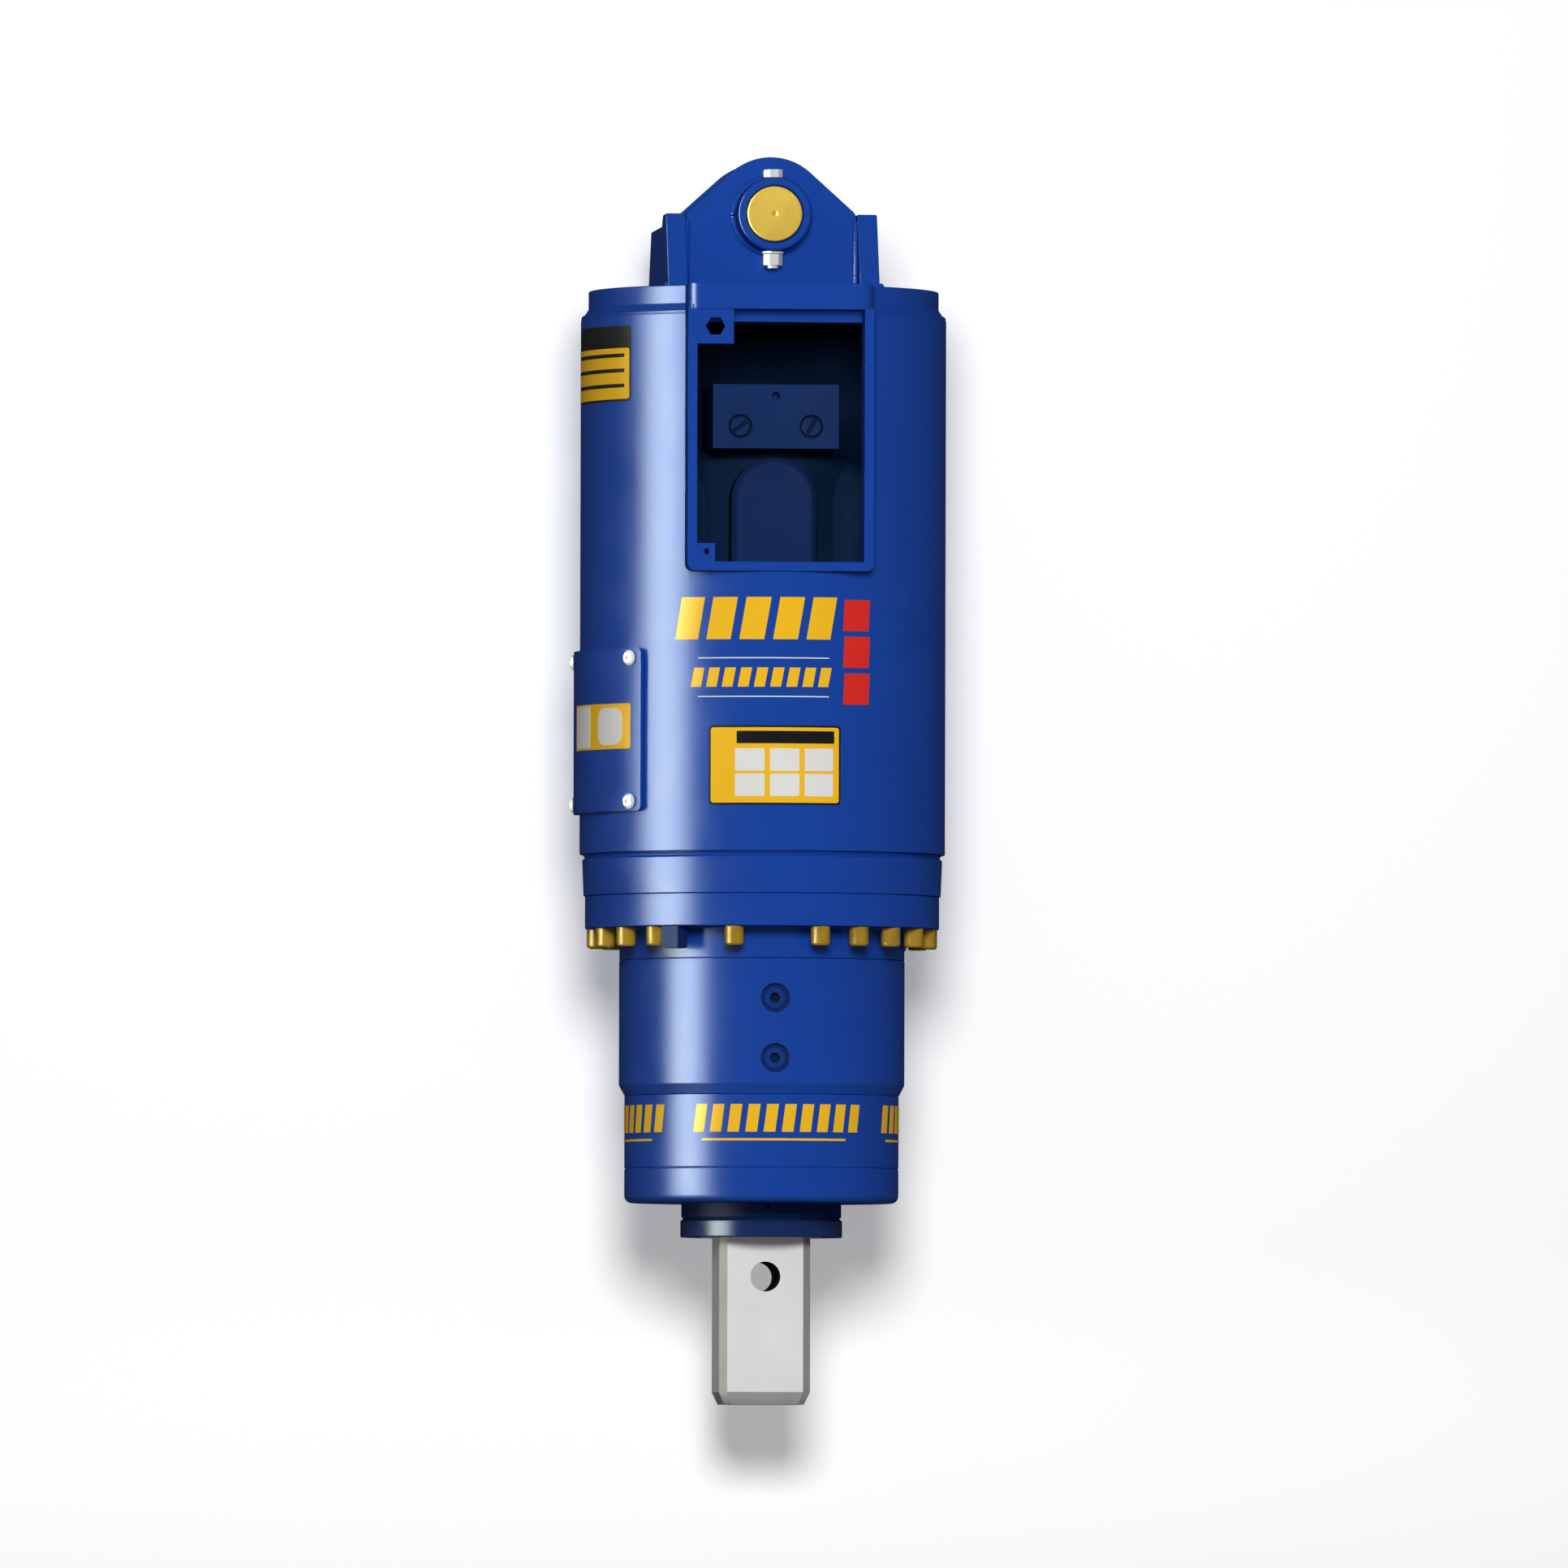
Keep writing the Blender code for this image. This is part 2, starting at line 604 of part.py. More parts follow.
def add_window_frame(paint):
    """The frame round the hose window, with two tabs that its cover is screwed to."""
    front = TUBE_RADIUS + FRAME_PROUD
    solid_frame = prism(frame_outline(0), front - FRAME_DEPTH, front)
    frame = piece("window_frame", solid_frame, paint, rotation=FACING_FRONT)
    left = FRAME_SIDE - FRAME_WIDTH / 2
    low = FRAME_BOTTOM + FRAME_BOTTOM_BAR
    high = PLATE_TOP - FRAME_TOP_BAR
    opening = prism(rectangle(left, -left, low, high), 0, 2 * TUBE_RADIUS)
    cut(frame, helper("window_opening", opening, rotation=FACING_FRONT))
    cut(frame, helper("top_bar_corners", top_bar_corners(front, high)))
    lap = FRAME_SIDE / 2
    tab_front = front - TAB_RECESS
    tab = rectangle(left - lap, left + TAB_WIDTH, high - TAB_HEIGHT, high + lap)
    low_tab = rectangle(left - lap, left + LOW_TAB_SIZE, low - lap, low + LOW_TAB_SIZE)
    for name, outline in (("cover_tab", tab), ("low_cover_tab", low_tab)):
        join(frame, helper(name, prism(outline, tab_front - TAB_THICKNESS, tab_front), rotation=FACING_FRONT))
    hole = prism(hexagon(TAB_HOLE_FLATS), 0, 2 * TUBE_RADIUS)
    middle = (left + TAB_WIDTH / 2, 0, high - TAB_HEIGHT / 2)
    cut(frame, helper("tab_hole", hole, middle, FACING_FRONT))


def add_hood_tube(paint):
    profile = rectangle(TUBE_BORE, TUBE_RADIUS, TUBE_BOTTOM, TUBE_TOP)
    return piece("hood_tube", turned(profile), paint)


def seat_window_frame(tube, plate):
    """Cuts the tube round the frame, and the top plate back to the frame's rear."""
    window = prism(frame_outline(SEAT_GAP), TUBE_RADIUS / 2, 2 * TUBE_RADIUS)
    cut(tube, helper("window_cut_out", window, rotation=FACING_FRONT))
    rear = TUBE_RADIUS + FRAME_PROUD - FRAME_DEPTH - SEAT_GAP
    half = FRAME_WIDTH / 2 + SEAT_GAP
    notch = rectangle(-half, half, PLATE_BOTTOM - PLATE_THICKNESS, PLATE_TOP + PLATE_THICKNESS)
    cut(plate, helper("plate_notch", prism(notch, rear, 2 * TUBE_RADIUS), rotation=FACING_FRONT))


def cover_bolt_places():
    low = TUBE_BOTTOM + COVER_RISE + COVER_BOLT_INSET
    high = TUBE_BOTTOM + COVER_RISE + COVER_HEIGHT - COVER_BOLT_INSET
    spread = COVER_HALF_ANGLE - COVER_BOLT_INSET_ANGLE
    return [(COVER_ANGLE + side * spread, level) for level in (high, low) for side in (-1, 1)]


def add_side_cover(paint, zinc_white, tube):
    """A rolled plate over the access hole in the tube's side, held by four button-head bolts."""
    low = TUBE_BOTTOM + COVER_RISE
    inner = TUBE_RADIUS + SEAT_GAP
    outer = inner + COVER_THICKNESS
    shell = sector(inner, outer, low, low + COVER_HEIGHT, COVER_ANGLE, COVER_HALF_ANGLE, 12)
    corners = [edge for edge in shell.edges if is_corner_edge(edge, low, low + COVER_HEIGHT)]
    bmesh.ops.bevel(shell, geom=corners, offset=COVER_CORNER, segments=3, profile=0.5, affect="EDGES")
    cover = piece("side_cover", shell, paint)
    access = sector(
        TUBE_BORE / 2, 2 * TUBE_RADIUS, low + ACCESS_INSET, low + COVER_HEIGHT - ACCESS_INSET,
        COVER_ANGLE, COVER_HALF_ANGLE - ACCESS_INSET_ANGLE, 8,
    )
    cut(tube, helper("access_hole", access))
    shank = circle(COVER_BOLT_RADIUS, BOLT_ROUND)
    head = circle(COVER_BOLT_HEAD_RADIUS, BOLT_ROUND)
    crown = circle(COVER_BOLT_CROWN_RADIUS, BOLT_ROUND)
    seat = outer + SEAT_GAP
    bolt = [
        (shank, TUBE_BORE), (shank, seat), (head, seat), (head, seat + COVER_BOLT_RIM_HEIGHT),
        (crown, seat + COVER_BOLT_HEAD_HEIGHT),
    ]
    for number, (angle, level) in enumerate(cover_bolt_places(), 1):
        place, facing = (0, 0, level), from_front(angle)
        bore = prism(circle(COVER_BOLT_RADIUS + SEAT_GAP, BOLT_ROUND), TUBE_BORE - TUBE_WALL, 2 * TUBE_RADIUS)
        hole = helper(f"side_cover_bolt_{number}_hole", bore, place, facing)
        cut(tube, hole)
        cut(cover, hole)
        piece(f"side_cover_bolt_{number}", lofted(bolt), zinc_white, place, facing)


def is_corner_edge(edge, low, high):
    """True for the four edges through the cover's thickness at its corners."""
    start, end = [vert.co for vert in edge.verts]
    level = abs(start.z - end.z) < TINY and min(abs(start.z - low), abs(start.z - high)) < TINY
    radial = abs(start.xy.length - end.xy.length) > COVER_THICKNESS / 2
    return level and radial and len(edge.link_faces) == 2


def bolt_turns():
    """The turns, from front, of the places that hold a bolt: one is empty and one makes way for the block."""
    places = [k for k in range(BOLT_PLACES) if k not in (FRONT_PLACE, BLOCK_PLACE)]
    return [2 * math.pi * k / BOLT_PLACES for k in places]


def add_base_ring(paint):
    """The ring on the hood's lower end: a spigot in the tube, and a notch below it for the weld."""
    notch_low = BASE_RING_TOP - BASE_RING_NOTCH
    notch = BASE_RING_RADIUS - BASE_RING_NOTCH / 2
    spigot = TUBE_BORE - SEAT_GAP
    spigot_top = BASE_RING_TOP + SPIGOT_HEIGHT
    profile = [
        (BASE_RING_BORE, BASE_RING_BOTTOM), (BASE_RING_RADIUS - BASE_RING_TAPER, BASE_RING_BOTTOM),
        (BASE_RING_RADIUS, notch_low), (notch, (notch_low + BASE_RING_TOP) / 2),
        (BASE_RING_RADIUS, BASE_RING_TOP), (spigot, BASE_RING_TOP),
        (spigot, spigot_top), (BASE_RING_BORE, spigot_top),
    ]
    return piece("hood_base_ring", turned(profile), paint)


def add_gearbox_flange(paint):
    """The gearbox's top flange with its hub, and the small block beside the bolt place left out for it."""
    hub_bore = CASE_RADIUS - HUB_WALL
    web_bore = MOTOR_SPIGOT_RADIUS + SEAT_GAP
    profile = [
        (web_bore, FLANGE_TOP), (FLANGE_RADIUS, FLANGE_TOP), (FLANGE_RADIUS, FLANGE_BOTTOM),
        (CASE_RADIUS, FLANGE_BOTTOM), (CASE_RADIUS, HUB_BOTTOM), (hub_bore, HUB_BOTTOM),
        (hub_bore, FLANGE_BOTTOM), (web_bore, FLANGE_BOTTOM),
    ]
    flange = piece("gearbox_flange", turned(profile), paint)
    half_width, half_depth = BLOCK_WIDTH / 2, BLOCK_DEPTH / 2
    outline = rectangle(
        -half_width, half_width, -BOLT_CIRCLE_RADIUS - half_depth, half_depth - BOLT_CIRCLE_RADIUS
    )
    block = prism(outline, FLANGE_BOTTOM - BLOCK_HEIGHT, FLANGE_BOTTOM + FLANGE_THICKNESS / 2)
    join(flange, helper("flange_block", placed(block, turn_about_z=BLOCK_TURN)))
    return flange


def add_flange_bolts(zinc_yellow, ring, flange):
    """Socket-head bolts from below, through the flange and up into the ring, with their holes."""
    top = BASE_RING_BOTTOM + BOLT_GRIP
    bore = circle(BOLT_RADIUS + BOLT_HOLE_GAP, FLANGE_BOLT_ROUND)
    hole_foot = FLANGE_BOTTOM - FLANGE_THICKNESS
    holes = []
    for turn in bolt_turns():
        hole = prism(bore, hole_foot, top + SEAT_GAP)
        holes.append(placed(hole, outwards(BOLT_CIRCLE_RADIUS, turn, 0), turn))
    hole_circle = helper("flange_bolt_holes", combined(holes))
    cut(ring, hole_circle)
    cut(flange, hole_circle)
    shank = circle(BOLT_RADIUS, FLANGE_BOLT_ROUND)
    head = circle(BOLT_HEAD_RADIUS, FLANGE_BOLT_ROUND)
    seat = FLANGE_BOTTOM - SEAT_GAP
    bolt = [(shank, top), (shank, seat), (head, seat), (head, seat - BOLT_HEAD_HEIGHT)]
    for number, turn in enumerate(bolt_turns(), 1):
        place = outwards(BOLT_CIRCLE_RADIUS, turn, 0)
        piece(f"flange_bolt_{number:02d}", lofted(bolt), zinc_yellow, place, (0, 0, turn))


def add_gear_case(paint, zinc_yellow):
    """The outer wall with both rings of internal teeth, and the two oil plugs in their sinks."""
    first_land = FIRST_MODULE * (FIRST_RING_TEETH / 2 - ADDENDUM - 1)
    second_land = SECOND_MODULE * (SECOND_RING_TEETH / 2 - ADDENDUM - 1)
    hub_bore = CASE_RADIUS - HUB_WALL
    profile = [
        (CASE_RADIUS, CASE_TOP), (CASE_RADIUS, CASE_BOTTOM + CASE_CHAMFER_HEIGHT),
        (CASE_RADIUS - CASE_CHAMFER, CASE_BOTTOM), (CASE_BORE, CASE_BOTTOM), (CASE_BORE, SECOND_GEAR_BOTTOM),
        (second_land, SECOND_GEAR_BOTTOM), (second_land, SECOND_GEAR_TOP), (CASE_BORE, SECOND_GEAR_TOP),
        (CASE_BORE, FIRST_GEAR_BOTTOM), (first_land, FIRST_GEAR_BOTTOM), (first_land, FIRST_GEAR_TOP),
        (hub_bore, FIRST_GEAR_TOP), (hub_bore, CASE_TOP),
    ]
    case = piece("gear_case", turned(profile), paint)
    past = GEAR_END_GAP / 2
    first_phase = ring_phase(FIRST_PLANET_TEETH, FIRST_RING_TEETH)
    first_opening = ring_opening(FIRST_RING_TEETH, FIRST_MODULE, first_phase)
    first_teeth = prism(first_opening, FIRST_GEAR_BOTTOM - past, FIRST_GEAR_TOP + past)
    cut(case, helper("first_ring_teeth", first_teeth))
    second_phase = ring_phase(SECOND_PLANET_TEETH, SECOND_RING_TEETH)
    second_opening = ring_opening(SECOND_RING_TEETH, SECOND_MODULE, second_phase)
    second_teeth = prism(second_opening, SECOND_GEAR_BOTTOM - past, SECOND_GEAR_TOP + past)
    cut(case, helper("second_ring_teeth", second_teeth))
    add_plug("fill_plug", CASE_TOP - FILL_PLUG_DROP, zinc_yellow, case)
    add_plug("level_plug", CASE_TOP - LEVEL_PLUG_DROP, zinc_yellow, case)


def add_plug(name, level, zinc_yellow, case):
    """An oil plug with a hexagon socket, sunk in the front of the gear case."""
    place = (0, 0, level)
    sink_floor = CASE_RADIUS - PLUG_SINK_DEPTH
    hole_floor = sink_floor - PLUG_LENGTH - SEAT_GAP
    sink = prism(circle(PLUG_SINK_RADIUS, SMALL_ROUND), sink_floor, 2 * CASE_RADIUS)
    hole = prism(circle(PLUG_RADIUS + SEAT_GAP, SMALL_ROUND), hole_floor, CASE_RADIUS + PLUG_SINK_DEPTH)
    cut(case, helper(f"{name}_sink", sink, place, FACING_FRONT))
    cut(case, helper(f"{name}_hole", hole, place, FACING_FRONT))
    body = prism(circle(PLUG_RADIUS, SMALL_ROUND), hole_floor + SEAT_GAP, sink_floor)
    plug = piece(name, body, zinc_yellow, place, FACING_FRONT)
    socket = prism(hexagon(PLUG_HEX_FLATS), sink_floor - PLUG_HEX_DEPTH, 2 * CASE_RADIUS)
    cut(plug, helper(f"{name}_socket", socket, place, FACING_FRONT))


def add_bearing_case(paint):
    bore, shoulder = BEARING_RADIUS + SEAT_GAP, BEARING_RADIUS - BEARING_SHOULDER
    upper_seat = BEARING_CASE_TOP - BEARING_WIDTH - SEAT_GAP
    lower_seat = BEARING_CASE_BOTTOM + BEARING_INSET + BEARING_WIDTH + SEAT_GAP
    corner = arc(
        BEARING_CASE_CORNER, 0, -math.pi / 2, 2,
        (BEARING_CASE_RADIUS - BEARING_CASE_CORNER, BEARING_CASE_BOTTOM + BEARING_CASE_CORNER),
    )
    profile = [
        (bore, BEARING_CASE_TOP), (BEARING_CASE_RADIUS, BEARING_CASE_TOP), *corner,
        (bore, BEARING_CASE_BOTTOM), (bore, lower_seat), (shoulder, lower_seat),
        (shoulder, upper_seat), (bore, upper_seat),
    ]
    return piece("bearing_case", turned(profile), paint)


def add_bearings(steel):
    inner = JOURNAL_RADIUS + RUNNING_GAP
    lower_bottom = BEARING_CASE_BOTTOM + BEARING_INSET
    upper_bottom = BEARING_CASE_TOP - BEARING_WIDTH
    for name, bottom in (("upper_bearing", upper_bottom), ("lower_bearing", lower_bottom)):
        top = bottom + BEARING_WIDTH
        piece(name, turned(rectangle(inner, BEARING_RADIUS, bottom, top)), steel)


def add_seal_carrier(paint, rubber):
    """A flanged ring whose spigot holds the lower bearing, with the shaft seal in its mouth."""
    bore = JOURNAL_RADIUS + SEAL_CARRIER_BORE_GAP
    recess = SEAL_RADIUS + SEAT_GAP
    spigot_top = SEAL_CARRIER_TOP + BEARING_INSET
    seal_low = SEAL_CARRIER_BOTTOM + SEAL_INSET
    seal_high = seal_low + SEAL_HEIGHT
    groove = SEAL_CARRIER_TOP - SEAL_CARRIER_GROOVE_DROP
    lip = SEAL_CARRIER_RADIUS + GROOVE_DEPTH
    profile = [
        (bore, spigot_top), (BEARING_RADIUS, spigot_top), (BEARING_RADIUS, SEAL_CARRIER_TOP + SEAT_GAP),
        (SEAL_CARRIER_RADIUS, SEAL_CARRIER_TOP), (SEAL_CARRIER_RADIUS, groove),
        (SEAL_CARRIER_RADIUS - 2 * GROOVE_DEPTH, groove - GROOVE_DEPTH), (lip, groove - 5 * GROOVE_DEPTH),
        (SEAL_CARRIER_RADIUS - GROOVE_DEPTH, SEAL_CARRIER_BOTTOM), (recess, SEAL_CARRIER_BOTTOM),
        (recess, seal_high + SEAT_GAP), (bore, seal_high + SEAT_GAP),
    ]
    piece("seal_carrier", turned(profile), paint)
    inner = JOURNAL_RADIUS + RUNNING_GAP
    piece("shaft_seal", turned(rectangle(inner, SEAL_RADIUS, seal_low, seal_high)), rubber)


def chamfered_square(side, chamfer):
    half, short = side / 2, side / 2 - chamfer
    return [
        (half, -short), (half, short), (short, half), (-short, half),
        (-half, short), (-half, -short), (-short, -half), (short, -half),
    ]


def add_output_shaft(steel, axis):
    """Spline, journal and square end, with the cross hole that the auger's pin goes through."""
    overlap = SEAL_HEIGHT
    journal = [
        (0, SHAFT_SHOULDER), (JOURNAL_RADIUS, SHAFT_SHOULDER),
        (JOURNAL_RADIUS, SEAL_CARRIER_BOTTOM), (0, SEAL_CARRIER_BOTTOM),
    ]
    shaft = piece("output_shaft", turned(journal), steel, parent=axis)
    spline = prism(spline_outline(), SHAFT_SHOULDER - overlap, SECOND_CARRIER_TOP)
    join(shaft, helper("shaft_spline", spline))
    square = chamfered_square(SQUARE_SIDE, SQUARE_CHAMFER)
    end = chamfered_square(SQUARE_SIDE - 2 * SQUARE_LEAD_INSET, SQUARE_CHAMFER)
    lead = SHAFT_BOTTOM + SQUARE_LEAD
    sections = [(square, SEAL_CARRIER_BOTTOM + overlap), (square, lead), (end, SHAFT_BOTTOM)]
    join(shaft, helper("shaft_square", lofted(sections)))
    hole = prism(circle(CROSS_HOLE_RADIUS, SMALL_ROUND), -SQUARE_SIDE, SQUARE_SIDE)
    cut(shaft, helper("shaft_cross_hole", hole, (0, 0, SEAL_CARRIER_BOTTOM - CROSS_HOLE_DROP), FACING_FRONT))


def carrier_outline(distance, lobe):
    """A triangle with round corners about the planet pins."""
    points = []
    for angle in planet_angles():
        centre = (distance * math.cos(angle), distance * math.sin(angle))
        points += arc(lobe, angle - math.pi / PLANETS, angle + math.pi / PLANETS, 6, centre)
    return points


def add_carrier(name, distance, pin_radius, bottom, top, pin_top, bore_outline, steel, axis):
    """A carrier plate with its planet pins standing on it, and a splined bore."""
    plate = prism(carrier_outline(distance, pin_radius + CARRIER_RIM), bottom, top)
    carrier = piece(name, plate, steel, parent=axis)
    middle = (bottom + top) / 2
    centres = [(distance * math.cos(t), distance * math.sin(t)) for t in planet_angles()]
    pins = [prism(circle(pin_radius, SMALL_ROUND, centre), middle, pin_top) for centre in centres]
    join(carrier, helper(f"{name}_pins", combined(pins)))
    thick = top - bottom
    cut(carrier, helper(f"{name}_bore", prism(bore_outline, bottom - thick, top + thick)))


def add_planets(name, module, teeth, sun_teeth, distance, pin_radius, low, high, steel, axis):
    """Planets, each on an empty at its own axis."""
    for number, angle in enumerate(planet_angles(), 1):
        place = (distance * math.cos(angle), distance * math.sin(angle), 0)
        spin = axis_empty(f"{name}_{number}_axis", place, axis)
        turn = (0, 0, planet_phase(sun_teeth, teeth, angle))
        gear = prism(external_gear(teeth, module), low, high)
        planet = piece(f"{name}_{number}", gear, steel, rotation=turn, parent=spin)
        bore = prism(circle(pin_radius + RUNNING_GAP, SMALL_ROUND), low - module, high + module)
        cut(planet, helper(f"{name}_{number}_bore", bore, parent=spin))


def add_gear_train(steel, output_axis, first_axis, input_axis):
    """Both planetary stages. Suns have a tooth at the front, and planets are turned to mesh with them."""
    second_pin_top = SECOND_GEAR_TOP + GEAR_END_GAP / 2
    add_carrier(
        "second_carrier", SECOND_DISTANCE, SECOND_PIN_RADIUS, SECOND_CARRIER_BOTTOM, SECOND_CARRIER_TOP,
        second_pin_top, spline_outline(SEAT_GAP), steel, output_axis,
    )
    add_planets(
        "second_planet", SECOND_MODULE, SECOND_PLANET_TEETH, SECOND_SUN_TEETH, SECOND_DISTANCE,
        SECOND_PIN_RADIUS, SECOND_GEAR_BOTTOM, SECOND_GEAR_TOP, steel, output_axis,
    )
    front = -math.pi / 2
    sun = external_gear(SECOND_SUN_TEETH, SECOND_MODULE, phase=front)
    sun_teeth = prism(sun, SECOND_CARRIER_TOP + SEAT_GAP, FIRST_CARRIER_TOP)
    piece("second_sun", sun_teeth, steel, parent=first_axis)
    add_carrier(
        "first_carrier", FIRST_DISTANCE, FIRST_PIN_RADIUS, FIRST_CARRIER_BOTTOM, FIRST_CARRIER_TOP,
        FIRST_GEAR_TOP + GEAR_END_GAP / 2,
        external_gear(SECOND_SUN_TEETH, SECOND_MODULE, SEAT_GAP, front), steel, first_axis,
    )
    add_planets(
        "first_planet", FIRST_MODULE, FIRST_PLANET_TEETH, FIRST_SUN_TEETH, FIRST_DISTANCE,
        FIRST_PIN_RADIUS, FIRST_GEAR_BOTTOM, FIRST_GEAR_TOP, steel, first_axis,
    )
    pinion_teeth = external_gear(FIRST_SUN_TEETH, FIRST_MODULE, phase=front)
    teeth = prism(pinion_teeth, FIRST_CARRIER_TOP + SEAT_GAP, FIRST_GEAR_TOP)
    pinion = piece("input_pinion", teeth, steel, parent=input_axis)
    shaft_top = MOTOR_BASE + PINION_ENGAGEMENT - SEAT_GAP
    shaft = prism(circle(PINION_SHAFT_RADIUS, SMALL_ROUND), FIRST_GEAR_BOTTOM, shaft_top)
    join(pinion, helper("pinion_shaft", shaft))


def lobe_shape():
    """One cylinder lobe of the motor, as an arch: round on top, straight below."""
    half = LOBE_WIDTH / 2
    spring_line = MOTOR_TOP - LOBE_DROP - half
    foot = MOTOR_TOP - LOBE_DROP - LOBE_HEIGHT
    arch = [(-half, foot), (half, foot), *arc(half, 0, math.pi, 8, (0, spring_line))]
    return prism(arch, LOBE_START, LOBE_REACH)


def add_motor(cast, machined):
    """A radial piston motor standing on the gearbox flange, with its port block towards the window."""
    star_foot = MOTOR_TOP - LOBE_DROP - LOBE_HEIGHT
    flange_radius = BASE_RING_BORE - MOTOR_FLANGE_GAP
    flange_top = MOTOR_BASE + MOTOR_FLANGE_THICKNESS
    pinion_bore = PINION_SHAFT_RADIUS + RUNNING_GAP
    pinion_end = MOTOR_BASE + PINION_ENGAGEMENT
    taper_foot = (star_foot + flange_top) / 2
    spigot_foot = MOTOR_BASE - MOTOR_SPIGOT_HEIGHT
    profile = [
        (0, MOTOR_TOP), (MOTOR_NECK_RADIUS, MOTOR_TOP), (MOTOR_CORE_RADIUS, MOTOR_TOP - LOBE_DROP),
        (MOTOR_CORE_RADIUS, star_foot + LOBE_DROP), (MOTOR_SKIRT_RADIUS, star_foot + LOBE_DROP),
        (MOTOR_SKIRT_RADIUS, star_foot - 2 * LOBE_DROP), (MOTOR_NECK_RADIUS, taper_foot),
        (MOTOR_NECK_RADIUS, flange_top + MOTOR_FLANGE_FILLET),
        (MOTOR_NECK_RADIUS + MOTOR_FLANGE_FILLET, flange_top),
        (flange_radius, flange_top), (flange_radius, MOTOR_BASE), (MOTOR_SPIGOT_RADIUS, MOTOR_BASE),
        (MOTOR_SPIGOT_RADIUS, spigot_foot), (pinion_bore, spigot_foot),
        (pinion_bore, pinion_end), (0, pinion_end),
    ]
    motor = piece("motor_body", turned(profile, PIN_ROUND), cast)
    lobes = [upright(lobe_shape(), 2 * math.pi * k / LOBES) for k in range(LOBES)]
    join(motor, helper("motor_lobes", combined(lobes)))
    half = PORT_BLOCK_WIDTH / 2
    block = prism(rectangle(-half, half, -PORT_BLOCK_REACH, 0), PORT_BLOCK_BOTTOM, PORT_BLOCK_TOP)
    ports = piece("motor_port_block", block, machined)
    distributor = prism(circle(DISTRIBUTOR_RADIUS, PIN_ROUND), PORT_BLOCK_BOTTOM, PORT_BLOCK_TOP)
    join(ports, helper("motor_distributor", distributor))
    for number, side in enumerate((-1, 1), 1):
        hole = prism(circle(PORT_RADIUS, SMALL_ROUND), PORT_BLOCK_REACH - PORT_DEPTH, 2 * PORT_BLOCK_REACH)
        place = (side * PORT_SPREAD, 0, PORT_BLOCK_TOP - PORT_DROP)
        cut(ports, helper(f"port_{number}", hole, place, FACING_FRONT))


def upright(bm, turn):
    """Stands a shape made facing +Z up, to face outwards at the turn from front."""
    bmesh.ops.rotate(bm, verts=bm.verts, cent=(0, 0, 0), matrix=Matrix.Rotation(math.pi / 2, 3, "X"))
    return placed(bm, turn_about_z=turn)


def clear_scene():
    for old in list(bpy.data.objects):
        bpy.data.objects.remove(old)


def main():
    clear_scene()
    paint = finish("blue_paint", (31, 71, 180), 0.35, 0.0)
    zinc_yellow = finish("yellow_zinc", (214, 190, 50), 0.35, 1.0)
    zinc_white = finish("white_zinc", (205, 210, 215), 0.35, 1.0)
    shaft_steel = finish("ground_steel", (205, 210, 214), 0.30, 1.0)
    gear_steel = finish("gear_steel", (140, 140, 140), 0.35, 1.0)
    cast = finish("motor_casting", (30, 34, 38), 0.6, 0.0)
    machined = finish("motor_port_steel", (80, 84, 88), 0.45, 0.6)
    rubber = finish("seal_rubber", (20, 20, 20), 0.7, 0.0)

    front_ear = add_ears(paint)
    add_gussets(paint)
    add_pin(zinc_yellow, zinc_white, front_ear)
    plate = add_top_plate(paint)
    tube = add_hood_tube(paint)
    add_window_frame(paint)
    seat_window_frame(tube, plate)
    add_side_cover(paint, zinc_white, tube)
    ring = add_base_ring(paint)
    flange = add_gearbox_flange(paint)
    add_flange_bolts(zinc_yellow, ring, flange)
    add_gear_case(paint, zinc_yellow)
    add_bearing_case(paint)
    add_bearings(gear_steel)
    add_seal_carrier(paint, rubber)
    add_motor(cast, machined)

    output_axis = axis_empty("output_axis", (0, 0, 0), None)
    first_axis = axis_empty("first_carrier_axis", (0, 0, 0), None)
    input_axis = axis_empty("input_axis", (0, 0, 0), None)
    add_output_shaft(shaft_steel, output_axis)
    add_gear_train(gear_steel, output_axis, first_axis, input_axis)


main()
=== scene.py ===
"""Earth auger drive: fine shapes, surfaces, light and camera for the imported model.

Metres, +Z up. The front, with the hose window, faces -Y.
Angles from front turn from -Y towards +X. Levels are heights along Z.
"""
import math

import bmesh
import bpy
from mathutils import Matrix, Quaternion, Vector


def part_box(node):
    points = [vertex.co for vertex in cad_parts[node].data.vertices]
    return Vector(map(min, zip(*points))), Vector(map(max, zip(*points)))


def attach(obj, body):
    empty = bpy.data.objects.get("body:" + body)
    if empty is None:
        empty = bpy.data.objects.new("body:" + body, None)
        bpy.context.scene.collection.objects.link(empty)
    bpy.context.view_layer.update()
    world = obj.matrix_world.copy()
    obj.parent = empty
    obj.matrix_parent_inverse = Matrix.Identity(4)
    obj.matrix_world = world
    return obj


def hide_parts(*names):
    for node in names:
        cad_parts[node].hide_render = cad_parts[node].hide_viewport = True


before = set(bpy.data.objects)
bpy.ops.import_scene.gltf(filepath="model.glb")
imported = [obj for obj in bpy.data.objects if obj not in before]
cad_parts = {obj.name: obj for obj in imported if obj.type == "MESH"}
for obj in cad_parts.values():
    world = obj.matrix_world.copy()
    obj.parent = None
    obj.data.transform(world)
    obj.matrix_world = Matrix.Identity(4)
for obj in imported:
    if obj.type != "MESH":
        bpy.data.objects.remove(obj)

# Points round a circle, and other fineness
FINE = 160
WIDE = 96
MIDDLE = 64
SMALL = 48
NARROW = 24
CORNER_STEPS = 6
SIDE_SHARE = 0.45
BEAD_SIDES = 10
SHARP_ANGLE = math.radians(32)
PRESSURE_ANGLE = math.radians(25)
GAP = 0.0003
